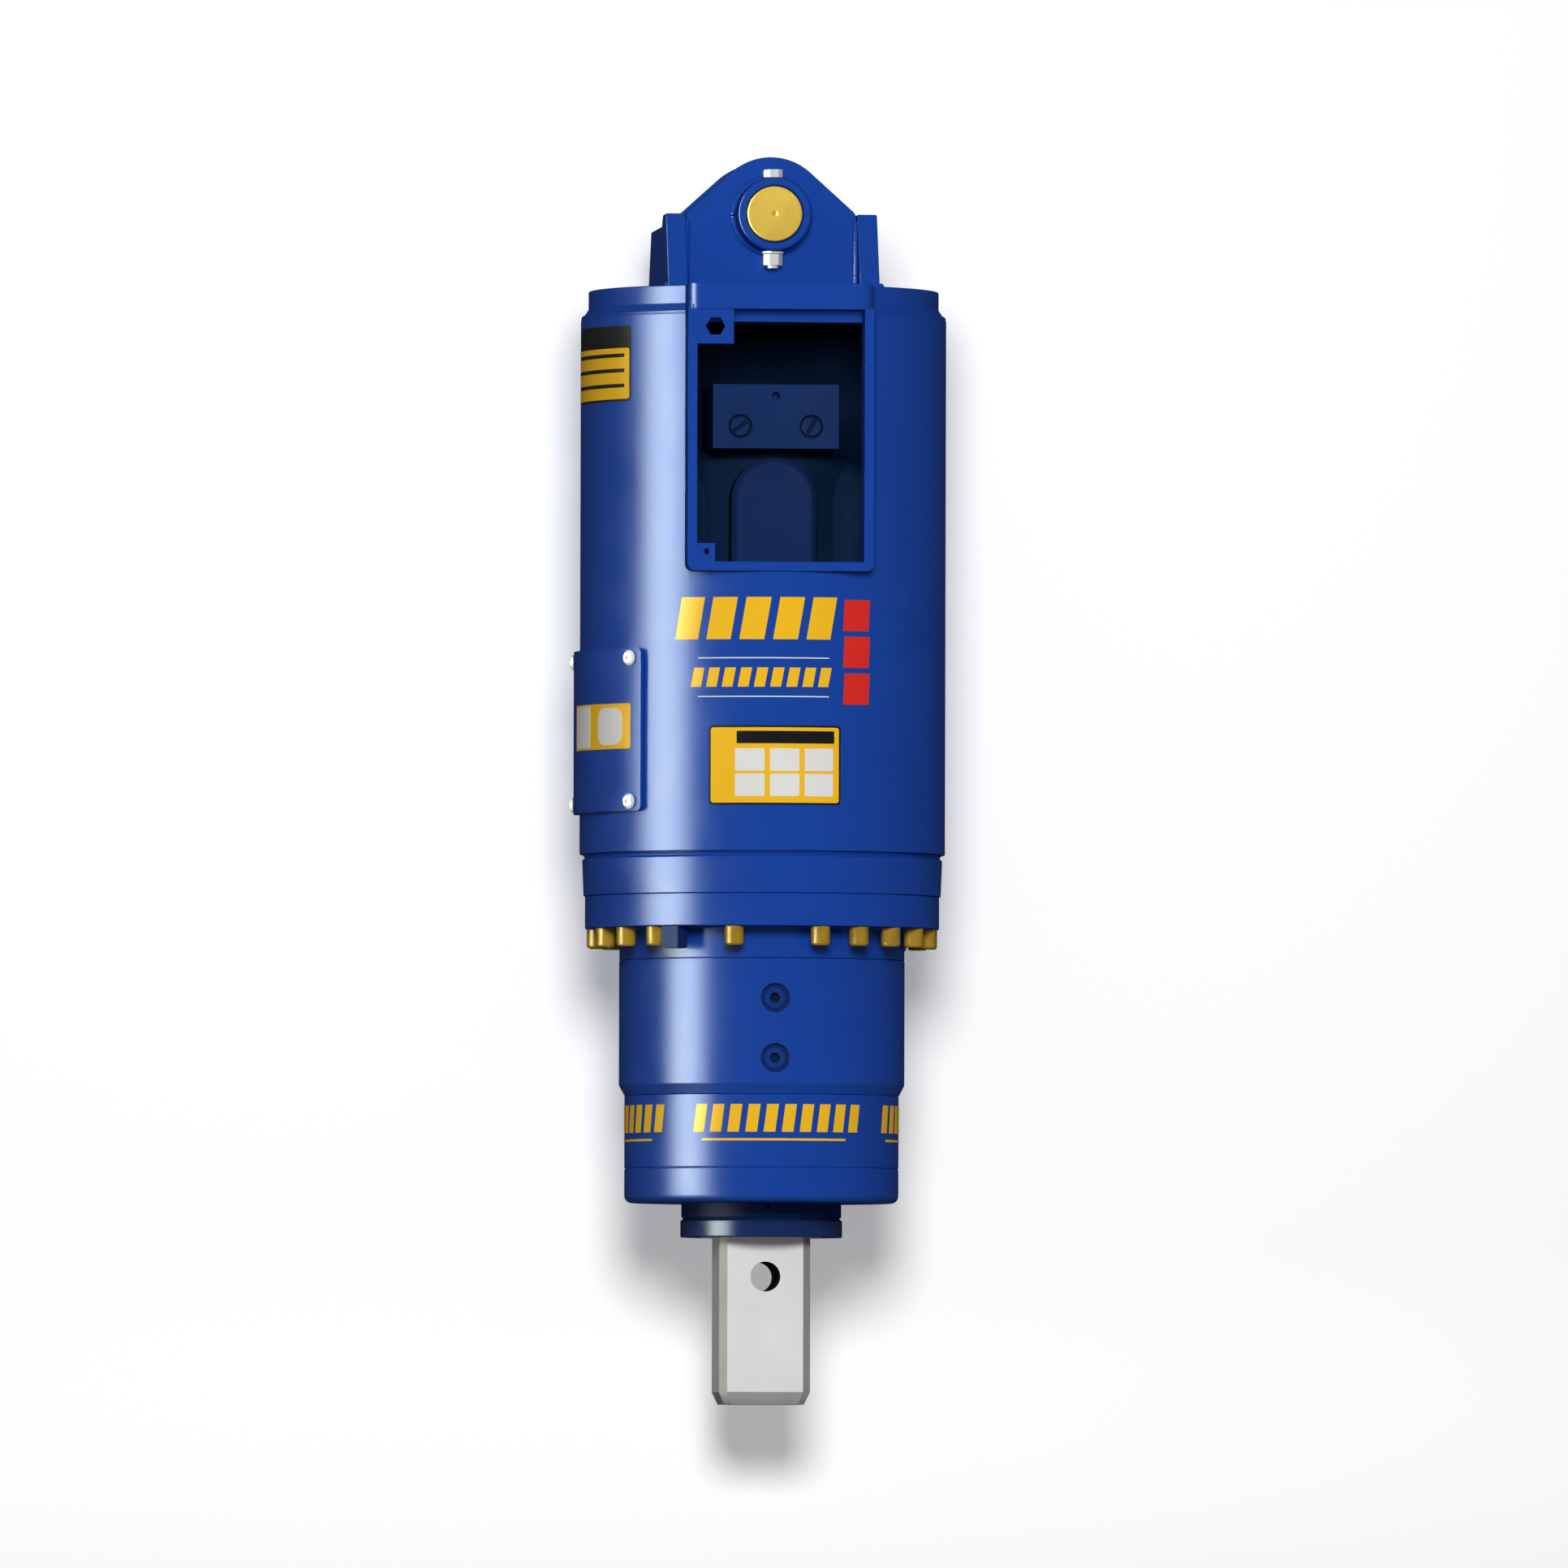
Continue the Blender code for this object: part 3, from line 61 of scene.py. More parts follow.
NEAR_ZERO = 1e-6

# Hitch
PIN_RADIUS = 0.030
BOSS_RADIUS = 0.040
EAR_TOP_RADIUS = 0.064
EAR_HALF_WIDTH = 0.0937
EAR_FLANK = math.radians(48)
EAR_INNER = 0.060
EAR_OUTER = 0.085
SHOULDER_CORNER = 0.012
PLATE_BEVEL = 0.0018
BOSS_END = 0.125
PIN_FRONT = 0.128
PIN_REAR = 0.091
LOCK_BOLT_FRONT = 0.105
LOCK_BORE = 0.0063
LOCK_FLATS = 0.0185
LOCK_BEVEL = 0.0008
WASHER_RADIUS = 0.0118
WASHER_THICKNESS = 0.0025

# Hood
TUBE_RADIUS = 0.200
TUBE_BORE = 0.192
TOP_PLATE_THICKNESS = 0.040
RING_RADIUS = 0.197
RING_BORE = 0.160
COVER_RADIUS = 0.2003
COVER_OUTER = COVER_RADIUS + 0.0065
COVER_CORNER = 0.006
COVER_SIDES = (math.radians(-104.6), math.radians(-45.4))
COVER_BOLT_INSET = 0.0106
ACCESS_SIDES = (math.radians(-95), math.radians(-55))
ACCESS_INSET = 0.025

# Window frame
FRAME_HALF = 0.1015
FRAME_FRONT = 0.204
FRAME_REAR = 0.168
FRAME_LOW_BAR = 0.0098
FRAME_TOP_BAR = 0.0275
OPENING_HALF = 0.0915
TAB_FRONT = 0.201
TAB_REAR = 0.193

# Gearbox
FLANGE_RADIUS = 0.1938
FLANGE_THICKNESS = 0.0357
FLANGE_BORE = 0.0753
BLOCK_TURN = math.radians(-37)
BOLT_CIRCLE_RADIUS = 0.182
BOLT_HOLE_RADIUS = 0.0076
BOLT_PLACES = 24
EMPTY_PLACES = (0, 22)
CASE_RADIUS = 0.156
HUB_BORE = 0.1405
PLUGS = ("fill_plug", "level_plug")
SINK_RADIUS = 0.0160
BEARING_CASE_RADIUS = 0.150
BEARING_RADIUS = 0.0900
BEARING_SEAT = 0.0903
CROSS_HOLE_RADIUS = 0.01625

# Motor
LOBES = 5
LOBE_HALF_WIDTH = 0.046
PORT_SPREAD = 0.039
PORT_RADIUS = 0.013

# Printed films and their layers
FILM_LIFT = 0.0002
FILM_THICKNESS = 0.0003
SECOND_LIFT = 0.0005
THIRD_LIFT = 0.0008
BAR_STEP = 1.5

# Camera, as the photograph was taken
CAMERA_AZIMUTH = -5.5
CAMERA_ELEVATION = -1.7
CAMERA_ROLL = 0.15
CAMERA_DISTANCE = 29.0
VIEW_WIDTH = 1.7173
VIEW_RIGHT = 0.0237
VIEW_LEVEL = -0.6181
SENSOR = 36.0

# Light
LAMP_DISTANCE = 5.0
LAMP_SIZE = 1.4
KEY = {"azimuth": -4.8, "elevation": 12.0, "level": 0.80}
BACK = {"azimuth": 180.0, "elevation": 20.0, "level": 0.45}
AMBIENT = 0.16
STREAK_AZIMUTH = -68.5
STREAK_DISTANCE = 3.0
STREAK_STRENGTH = 112.0
STREAK_COLOUR = (0.92, 0.98, 0.63, 1.0)
STREAK_HALF_WIDTH = 1.50
STREAK_HALF_HEIGHT = 2.6

# Backdrop
BACKDROP_LIFT = 0.27
BACKDROP_SHADE = (0.40, 0.40, 0.40, 1.0)
BACKDROP_SEEN_SHADE = (0.88, 0.88, 0.88, 1.0)
WHITE = (1.0, 1.0, 1.0, 1.0)
WALL_Y = 0.24
WALL_TOP = 2.4
WALL_HALF_WIDTH = 3.5
FLOOR_LEVEL = -1.62
FLOOR_FRONT = -2.4
SWEEP = 0.5

# Surfaces: scales of the noise, where specks of dirt set in, and sockets of a node that mixes colours
MOTTLE_SCALE = 9.0
SMUDGE_SCALE = 26.0
DIRT_SCALE = 60.0
DIRT_RANGE = (0.52, 0.74)
GRAIN_HEIGHT = 0.0006
MIX_FIRST, MIX_SECOND, MIX_RESULT = 6, 7, 2

# The inner nodes that aren't gear steel
INNER_LOOKS = {"shaft_seal": "rubber", "gear_case": "paint"}


def linear(red, green, blue):
    """A colour given in 0 to 255 sRGB, as the linear values that a shader takes."""
    shares = [value / 255 for value in (red, green, blue)]
    return [s / 12.92 if s < 0.04045 else ((s + 0.055) / 1.055) ** 2.4 for s in shares] + [1.0]


def levels(node):
    """The lowest and the highest level of a node."""
    low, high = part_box(node)
    return low[2], high[2]


# Outlines and shapes

def arc(radius, start, end, steps, centre=(0.0, 0.0)):
    turns = [start + (end - start) * step / steps for step in range(steps + 1)]
    return [(centre[0] + radius * math.cos(t), centre[1] + radius * math.sin(t)) for t in turns]


def circle(radius, steps):
    return arc(radius, 0, 2 * math.pi, steps)[:-1]


def rectangle(left, right, low, high):
    return [(left, low), (right, low), (right, high), (left, high)]


def hexagon(flats):
    return circle(flats / math.sqrt(3), 6)


def eased(outline, steps=4):
    """Rounds the corners that have a third value, their radius, and gives plain points."""
    points = []
    for index, corner in enumerate(outline):
        here = Vector(corner[:2])
        if len(corner) < 3:
            points.append(tuple(here))
            continue
        back = Vector(outline[index - 1][:2]) - here
        ahead = Vector(outline[(index + 1) % len(outline)][:2]) - here
        half = back.angle(ahead) / 2
        reach = min(corner[2] / math.tan(half), SIDE_SHARE * back.length, SIDE_SHARE * ahead.length)
        back.normalize()
        ahead.normalize()
        centre = here + (back + ahead).normalized() * reach / math.cos(half)
        start, end = here + back * reach - centre, here + ahead * reach - centre
        turn = start.angle(end)
        for step in range(steps + 1):
            share = step / steps
            mixed = start * math.sin((1 - share) * turn) + end * math.sin(share * turn)
            points.append(tuple(centre + mixed / math.sin(turn)))
    return points


def skinned(bm, rings, closed=False):
    """Joins rings of vertices into a solid: back to the first ring, or between two end faces."""
    count = len(rings[0])
    for ring, following in zip(rings, rings[1:] + (rings[:1] if closed else [])):
        for k in range(count):
            after = (k + 1) % count
            corners = dict.fromkeys((ring[k], ring[after], following[after], following[k]))
            if len(corners) > 2:
                bm.faces.new(list(corners))
    if not closed:
        bm.faces.new(rings[0])
        bm.faces.new(rings[-1])
    bmesh.ops.recalc_face_normals(bm, faces=bm.faces)
    return bm


def lathe(profile, steps=FINE):
    """A closed profile of (radius, height, corner radius) turned about Z."""
    bm = bmesh.new()
    rings = []
    for radius, height in eased(profile):
        if radius < NEAR_ZERO:
            rings.append([bm.verts.new((0, 0, height))] * steps)
        else:
            rings.append([bm.verts.new((x, y, height)) for x, y in circle(radius, steps)])
    return skinned(bm, rings, closed=True)


def loft(sections):
    """Joins (outline, height) sections of the same number of points, closed at both ends."""
    bm = bmesh.new()
    return skinned(bm, [[bm.verts.new((x, y, height)) for x, y in outline] for outline, height in sections])


def prism(outline, low, high):
    return loft([(outline, low), (outline, high)])


def outwards(radius, angle, level):
    return (radius * math.sin(angle), -radius * math.cos(angle), level)


def wrapped(columns, inner, outer):
    """A plate bent round Z. Each column is (angle, level) of its low end and of its high end."""
    bm = bmesh.new()
    rows = []
    for low, high in columns:
        ends = [(inner, *low), (inner, *high), (outer, *high), (outer, *low)]
        rows.append([bm.verts.new(outwards(*end)) for end in ends])
    return skinned(bm, rows)


def panel_columns(left, right, low, high, radius, corner, steps=24):
    """Columns of a rectangle with rounded corners, between two angles and two levels."""
    corner_turn = corner / radius
    columns = []
    for step in range(CORNER_STEPS + 1):
        t = math.pi / 2 * step / CORNER_STEPS
        columns.append((left + corner_turn * (1 - math.cos(t)), corner * (1 - math.sin(t))))
    middle = [left + (right - left) * k / steps for k in range(1, steps)]
    inside = [(t, 0.0) for t in middle if left + corner_turn < t < right - corner_turn]
    mirrored = [(left + right - t, drop) for t, drop in reversed(columns)]
    return [((t, low + drop), (t, high - drop)) for t, drop in columns + inside + mirrored]


def bead(path, radius, closed=False, ripple=0.12, pitch=0.004):
    """A weld bead: a tube along the path whose radius ripples once each pitch, of four steps."""
    points = [Vector(point) for point in path]
    if closed:
        points.append(points[0])
    dense = []
    for start, end in zip(points, points[1:]):
        count = max(1, round((end - start).length / (pitch / 4)))
        dense += [start.lerp(end, k / count) for k in range(count)]
    if not closed:
        dense.append(points[-1])
    bm = bmesh.new()
    rings = []
    total = len(dense)
    for k, point in enumerate(dense):
        before = dense[(k - 1) % total] if closed or k else point
        after = dense[(k + 1) % total] if closed or k < total - 1 else point
        turn = (after - before).to_track_quat("Z", "Y").to_matrix()
        size = radius * (1 - ripple * (0.5 + 0.5 * math.cos(k * math.pi / 2)))
        section = [turn @ Vector((x, y, 0)) for x, y in circle(size, BEAD_SIDES)]
        rings.append([bm.verts.new(point + offset) for offset in section])
    return skinned(bm, rings, closed)


def facing(angle=0.0, level=0.0, side=0.0):
    """The place of a shape whose +Z points outwards at this angle from front, and its +Y up."""
    turn = Matrix.Rotation(angle, 4, "Z") @ Matrix.Rotation(math.pi / 2, 4, "X")
    return Matrix.Translation((side, 0, level)) @ turn


def moved(bm, matrix):
    bm.transform(matrix)
    return bm


def tooth_outline(teeth, module, tip, root, backlash):
    """Teeth as an outline. tip and root are how far they reach beyond and below the pitch circle."""
    pitch = module * teeth / 2
    base = pitch * math.cos(PRESSURE_ANGLE)

    def turned_at(radius):
        rolled = math.sqrt(max((radius / base) ** 2 - 1, 0))
        return rolled - math.atan(rolled)

    half = math.pi / (2 * teeth) - backlash / (2 * pitch) + turned_at(pitch)
    low, high = pitch - root, pitch + tip
    wide, narrow = half - turned_at(low), half - turned_at(high)
    points = []
    for tooth in range(teeth):
        middle = 2 * math.pi * tooth / teeth
        corners = [(low, -wide), (high, -narrow), (high, narrow), (low, wide)]
        points += [(r * math.cos(middle + w), r * math.sin(middle + w)) for r, w in corners]
    return points


# Objects

def mesh_of(name, bm):
    mesh = bpy.data.meshes.new(name)
    bm.to_mesh(mesh)
    bm.free()
    return mesh


def new_object(name, data):
    made = bpy.data.objects.new(name, data)
    bpy.context.collection.objects.link(made)
    return made


def carve(target, bm, operation="DIFFERENCE"):
    """Cuts a shape out of the target, or joins it on, in its mesh."""
    tool = new_object("tool", mesh_of("tool", bm))
    modifier = target.modifiers.new("carve", "BOOLEAN")
    modifier.operation = operation
    modifier.object = tool
    evaluated = target.evaluated_get(bpy.context.evaluated_depsgraph_get())
    shaped = bpy.data.meshes.new_from_object(evaluated)
    target.modifiers.clear()
    target.data = shaped
    bpy.data.objects.remove(tool)


def add(name, bm, material, nodes=(), body="housing", bevel=0.0, cuts=(), joins=()):
    """A new piece that rides on a body and stands for its nodes, with eased edges."""
    made = new_object(name, mesh_of(name, bm))
    made.data.materials.append(material)
    for shape in joins:
        carve(made, shape, "UNION")
    for shape in cuts:
        carve(made, shape)
    soften(made, bevel)
    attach(made, body)
    if nodes:
        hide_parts(*nodes)
    return made


def soften(made, bevel):
    """Smooth shading, with the edges rounded where a bevel is given and else kept sharp."""
    made.data.shade_smooth()
    if bevel:
        modifier = made.modifiers.new("eased_edges", "BEVEL")
        modifier.width = bevel
        modifier.segments = 3
        modifier.limit_method = "ANGLE"
        modifier.angle_limit = SHARP_ANGLE
        modifier.use_clamp_overlap = True
    else:
        made.data.set_sharp_from_angle(angle=SHARP_ANGLE)
    normals = made.modifiers.new("face_normals", "WEIGHTED_NORMAL")
    normals.keep_sharp = True


def paint_faces(made, material, chosen):
    """Gives a second material to the faces whose centre and normal are chosen."""
    made.data.materials.append(material)
    number = len(made.data.materials) - 1
    for face in made.data.polygons:
        if chosen(face.center, face.normal):
            face.material_index = number


# Surfaces

def feed(tree, value, socket):
    """Links the value to a socket where it is a socket itself, and else writes it there."""
    if isinstance(value, bpy.types.NodeSocket):
        tree.links.new(value, socket)
    else:
        socket.default_value = value


def calculated(tree, operation, *values):
    made = tree.nodes.new("ShaderNodeMath")
    made.operation = operation
    for value, socket in zip(values, made.inputs):
        feed(tree, value, socket)
    return made.outputs["Value"]


class Nodes:
    """Short calls to build a material's nodes."""

    def __init__(self, name):
        self.material = bpy.data.materials.new(name)
        self.material.use_nodes = True
        self.tree = self.material.node_tree
        self.shader = self.tree.nodes["Principled BSDF"]

    def new(self, kind, **settings):
        made = self.tree.nodes.new(kind)
        for key, value in settings.items():
            setattr(made, key, value)
        return made

    def link(self, start, end):
        self.tree.links.new(start, end)

    def noise(self, vector, scale, detail, stretch=(1, 1, 1)):
        mapping = self.new("ShaderNodeMapping")
        mapping.inputs["Scale"].default_value = stretch
        self.link(vector, mapping.inputs["Vector"])
        made = self.new("ShaderNodeTexNoise")
        made.inputs["Scale"].default_value = scale
        made.inputs["Detail"].default_value = detail
        self.link(mapping.outputs["Vector"], made.inputs["Vector"])
        return made.outputs["Fac"]

    def ranged(self, value, low, high, start=0.35, end=0.65, **settings):
        made = self.new("ShaderNodeMapRange", **settings)
        self.link(value, made.inputs["Value"])
        for name, number in (("From Min", start), ("From Max", end), ("To Min", low), ("To Max", high)):
            made.inputs[name].default_value = number
        return made.outputs["Result"]

    def mixed(self, share, first, second):
        """Two colours mixed by a share. Each is a colour or a socket."""
        made = self.new("ShaderNodeMix", data_type="RGBA")
        self.link(share, made.inputs["Factor"])
        feed(self.tree, first, made.inputs[MIX_FIRST])
        feed(self.tree, second, made.inputs[MIX_SECOND])
        return made.outputs[MIX_RESULT]

    def show(self, shader):
        self.link(shader, self.tree.nodes["Material Output"].inputs["Surface"])

    def show_mixed(self, share, first, second):
        """The material's surface as two shaders mixed by a share, a number or a socket."""
        pick = self.new("ShaderNodeMixShader")
        for value, socket in zip((share, first, second), pick.inputs):
            feed(self.tree, value, socket)
        self.show(pick.outputs["Shader"])


def scaled(colour, by):
    return [min(1.0, channel * by) for channel in colour[:3]] + [1.0]


def surface(
    name, colour, roughness, metallic=0.0, mottle=0.05, grain=0.03, grain_scale=350.0,
    stretch=(1, 1, 1), spread=0.05, dirt=None, dirt_share=0.0, polish=0.0,
):
    """A surface whose colour, roughness and height vary as a made thing's do.

    With polish, its shine is that share of a white reflection, the same from every side.
    """
    nodes = Nodes(name)
    place = nodes.new("ShaderNodeTexCoord").outputs["Object"]
    share = nodes.ranged(nodes.noise(place, MOTTLE_SCALE, 4.0), 0.0, 1.0)
    base = nodes.mixed(share, scaled(colour, 1 - mottle), scaled(colour, 1 + mottle))
    if dirt:
        specks = nodes.noise(place, DIRT_SCALE, 8.0)
        share = nodes.ranged(specks, 0.0, dirt_share, *DIRT_RANGE)
        base = nodes.mixed(share, base, dirt)
    nodes.link(base, nodes.shader.inputs["Base Color"])
    smudges = nodes.noise(place, SMUDGE_SCALE, 5.0, stretch)
    rough = nodes.ranged(smudges, roughness - spread, roughness + spread)
    nodes.link(rough, nodes.shader.inputs["Roughness"])
    bump = nodes.new("ShaderNodeBump")
    bump.inputs["Strength"].default_value = grain
    bump.inputs["Distance"].default_value = GRAIN_HEIGHT
    nodes.link(nodes.noise(place, grain_scale, 2.0, stretch), bump.inputs["Height"])
    nodes.link(bump.outputs["Normal"], nodes.shader.inputs["Normal"])
    nodes.shader.inputs["Metallic"].default_value = metallic
    if polish:
        nodes.shader.inputs["Specular IOR Level"].default_value = 0.0
        shine = nodes.new("ShaderNodeBsdfGlossy")
        nodes.link(rough, shine.inputs["Roughness"])
        nodes.link(bump.outputs["Normal"], shine.inputs["Normal"])
        nodes.show_mixed(polish, nodes.shader.outputs["BSDF"], shine.outputs["BSDF"])
    return nodes.material


def film(name, colour):
    """A label's printed film, as glossy as the paint it lies on."""
    return surface(name, colour, 0.24, mottle=0.03, grain=0.02, spread=0.03, polish=0.007)


def make_surfaces():
    ground = {"grain": 0.10, "grain_scale": 90.0, "stretch": (1, 1, 9), "spread": 0.08}
    return {
        "paint": surface(
            "blue_paint", linear(20, 64, 154), 0.24, mottle=0.03, grain_scale=260.0, spread=0.03,
            polish=0.008,
        ),
        # Near-black painted shade, laid on the hood's inner faces, the top plate's underside, the frame's
        # rear faces, the motor body round its front lobe, and sockets and slots
        "inside": surface("dark_painted_shade", linear(16, 35, 62), 0.60, mottle=0.3, grain=0.3, polish=0.004),
        # A darker, less glossy blue as painted shade: on the block under the flange, in the plugs' sink cups
        # and on the seal carrier's neck
        "dull_painted_shade": surface("dull_painted_shade", linear(23, 46, 98), 0.45, grain=0.05, polish=0.001),
        # A darker blue as painted shade on the seal carrier, which lies under the bearing case
        "seal_painted_shade": surface("seal_painted_shade", linear(17, 42, 91), 0.24, mottle=0.04, grain=0.04, polish=0.0075),
        "gold": surface(
            "yellow_zinc", linear(192, 159, 48), 0.45, metallic=0.08, grain=0.08,
            dirt=linear(150, 118, 26), dirt_share=0.25,
        ),
        "bolt_gold": surface(
            "bolt_yellow_zinc", linear(160, 128, 38), 0.30, mottle=0.12, grain=0.06,
            dirt=linear(96, 74, 22), dirt_share=0.5, polish=0.007,
        ),
        "plug_paint": surface("plug_paint", linear(18, 52, 127), 0.30, mottle=0.1, grain=0.08, polish=0.007),
        "zinc": surface("white_zinc", linear(200, 203, 208), 0.36, metallic=0.08, mottle=0.08, grain=0.06),
        "ground": surface("ground_steel", linear(230, 230, 231), 0.45, mottle=0.06, polish=0.004, **ground),
        # A darker copy of the ground steel as painted shade, on the shaft's corner flats and end chamfer
        "ground_steel_painted_shade": surface(
            "ground_steel_painted_shade", linear(158, 158, 161), 0.40, mottle=0.12, polish=0.003, **ground,
        ),
        # Dark grey as painted shade, inside the shaft's cross hole and the motor's ports
        "bore": surface("bore_painted_shade", linear(34, 34, 37), 0.35, mottle=0.2, grain=0.2, polish=0.006),
        "gear": surface("gear_steel", linear(150, 150, 155), 0.35, metallic=0.9, mottle=0.06, grain=0.08),
        "casting": surface("motor_casting", linear(23, 42, 84), 0.55, mottle=0.15, grain=0.35, polish=0.004),
        "port": surface("motor_port_steel", linear(23, 45, 91), 0.40, mottle=0.1, grain=0.12, polish=0.005),
        "rubber": surface("seal_rubber", linear(24, 24, 25), 0.65, mottle=0.1, grain=0.2),
        "yellow": film("label_yellow", linear(238, 184, 34)),
        "dark": film("label_dark", linear(18, 18, 22)),
        "red": film("label_red", linear(214, 44, 38)),
        "white": film("label_white", linear(222, 222, 218)),
    }


# Hitch

def ear_outline(foot):
    top = arc(EAR_TOP_RADIUS, EAR_FLANK, math.pi - EAR_FLANK, 40)
    shoulder = (EAR_TOP_RADIUS - EAR_HALF_WIDTH * math.cos(EAR_FLANK)) / math.sin(EAR_FLANK)
    right = [(EAR_HALF_WIDTH, foot), (EAR_HALF_WIDTH, shoulder, SHOULDER_CORNER)]
    left = [(-EAR_HALF_WIDTH, shoulder, SHOULDER_CORNER), (-EAR_HALF_WIDTH, foot)]
    return eased([*right, *top, *left])


def lock_place():
    """Where the pin's lock bolt stands."""
    return Matrix.Translation((0, -LOCK_BOLT_FRONT, 0))


def lock_hole(steps=SMALL):
    return moved(prism(circle(LOCK_BORE, steps), -0.1, 0.1), lock_place())


def add_ears(looks):
    foot = levels("front_ear")[0]
    for node, start in (("front_ear", EAR_INNER), ("rear_ear", -EAR_OUTER)):
        plate = prism(ear_outline(foot), start, start + EAR_OUTER - EAR_INNER)
        bore = prism(circle(PIN_RADIUS + GAP, MIDDLE), -0.3, 0.3)
        add(
            f"{node}_plate", moved(plate, facing()), looks["paint"], [node],
            bevel=PLATE_BEVEL, cuts=[moved(bore, facing())],
        )
    boss_foot = EAR_OUTER - 0.005
    boss = lathe([
        (PIN_RADIUS + GAP, boss_foot), (BOSS_RADIUS, boss_foot), (BOSS_RADIUS, BOSS_END, 0.003),
        (PIN_RADIUS + 0.0022, BOSS_END, 0.0005), (PIN_RADIUS + GAP, BOSS_END - 0.004),
    ], WIDE)
    add(
        "pin_boss", moved(boss, facing()), looks["paint"], ["front_ear"],
        cuts=[lock_hole()],
    )
    ring = [(x, -EAR_OUTER - 0.0005, z) for x, z in circle(BOSS_RADIUS + 0.0015, 90)]
    add("pin_boss_weld", bead(ring, 0.0036, closed=True), looks["paint"])


def add_gussets(looks):
    half_top, half_foot, step, lug_end = 0.087, 0.120, 0.012, -0.053
    for name in ("left_gusset", "right_gusset"):
        (left, _, foot), (right, _, top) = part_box(name)
        outline = [
            (-half_foot, foot), (half_foot, foot), (half_top, top - step, 0.004),
            (lug_end + step, top - step, 0.004), (lug_end, top, 0.004), (-half_top, top, 0.003),
        ]
        plate = moved(prism(eased(outline), left, right), facing(math.pi / 2))
        add(f"{name}_plate", plate, looks["paint"], [name], bevel=PLATE_BEVEL)


def add_hitch_welds(looks):
    """Fillet welds round the feet of ears and gussets, and up the gussets' inner sides."""
    foot, corner_top = levels("front_ear")[0] + 0.001, -0.006
    side, face, corner_face = EAR_HALF_WIDTH, EAR_OUTER + 0.001, -EAR_OUTER - 0.0005
    outer, reach = side + 0.0233, 0.118
    paths = {
        "front_ear_weld": [(-side, -face, foot), (side, -face, foot)],
        "rear_ear_weld": [(-side, face, foot), (side, face, foot)],
        "left_gusset_weld": [(-outer, -reach, foot), (-outer, reach, foot)],
        "right_gusset_weld": [(outer, -reach, foot), (outer, reach, foot)],
    }
    for label, direction in (("left", -1), ("right", 1)):
        x = direction * (side - 0.0005)
        paths[f"{label}_corner_weld"] = [(x, corner_face, foot), (x, corner_face, corner_top)]
    for name, path in paths.items():
        add(name, bead(path, 0.0042), looks["paint"])


def add_pin(looks):
    pin = lathe([
        (0, -PIN_REAR), (PIN_RADIUS, -PIN_REAR, 0.002), (PIN_RADIUS, PIN_FRONT, 0.0016),
        (0.0035, PIN_FRONT), (0, PIN_FRONT - 0.003),
    ], WIDE)
    add(
        "hitch_pin_fine", moved(pin, facing()), looks["gold"], ["hitch_pin"],
        cuts=[lock_hole()],
    )
    low, high = levels("pin_lock_bolt")
    shank = prism(circle(0.006, NARROW), low, BOSS_RADIUS + 0.001)
    head = prism(hexagon(LOCK_FLATS), BOSS_RADIUS + GAP, high)
    add(
        "pin_lock_bolt_fine", moved(head, lock_place()), looks["zinc"], ["pin_lock_bolt"],
        bevel=LOCK_BEVEL, joins=[moved(shank, lock_place())],
    )
    low, high = levels("pin_lock_nut")
    step = high - WASHER_THICKNESS
    washer = lathe([
        (LOCK_BORE, step), (WASHER_RADIUS, step, 0.0005), (WASHER_RADIUS, high, 0.0005), (LOCK_BORE, high),
    ], SMALL)
    add("pin_lock_washer", moved(washer, lock_place()), looks["zinc"], ["pin_lock_nut"])
    nut = moved(prism(hexagon(LOCK_FLATS), low, step - 0.0001), lock_place())
    add(
        "pin_lock_nut_fine", nut, looks["zinc"], ["pin_lock_nut"],
        bevel=LOCK_BEVEL, cuts=[lock_hole(NARROW)],
    )


# Hood

def frame_outline(grow, low, high):
    half = FRAME_HALF + grow
    foot, corner = low - grow, 0.008 + grow
    outline = [(-half, foot, corner), (half, foot, corner), (half, high), (-half, high)]
    return eased(outline, 8)


def add_window_frame(looks):
    low, high = levels("window_frame")
    opening_low, opening_high = low + FRAME_LOW_BAR, high - FRAME_TOP_BAR
    body = moved(prism(frame_outline(0, low, high), FRAME_REAR, FRAME_FRONT), facing())
    opening = prism(rectangle(-OPENING_HALF, OPENING_HALF, opening_low, opening_high), 0, 0.4)
    made = add("window_frame_fine", body, looks["paint"], cuts=[moved(opening, facing())])
    for corner in top_bar_corners(opening_high):
        carve(made, corner)
    left, overlap = -OPENING_HALF, 0.005
    top_tab = rectangle(left - overlap, left + 0.040, opening_high - 0.038, opening_high + overlap)
    low_tab = rectangle(left - overlap, left + 0.020, opening_low - overlap, opening_low + 0.020)
    for outline in (top_tab, low_tab):
        carve(made, moved(prism(outline, TAB_REAR, TAB_FRONT), facing()), "UNION")
    nut_place = facing(0, opening_high - 0.019, left + 0.020)
    carve(made, moved(prism(hexagon(0.0185), 0, 0.4), nut_place))
    thread_place = facing(0, opening_low + 0.011, left + 0.011)
    carve(made, moved(prism(circle(0.0035, NARROW), 0, 0.4), thread_place))
    # Painted shade: the frame's rear faces, turned into the hood, get the near-black shade colour
    paint_faces(made, looks["inside"], lambda c, n: c.y > -FRAME_REAR - 0.004 and n.y > 0.5)
    soften(made, 0.0012)
    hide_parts("window_frame")


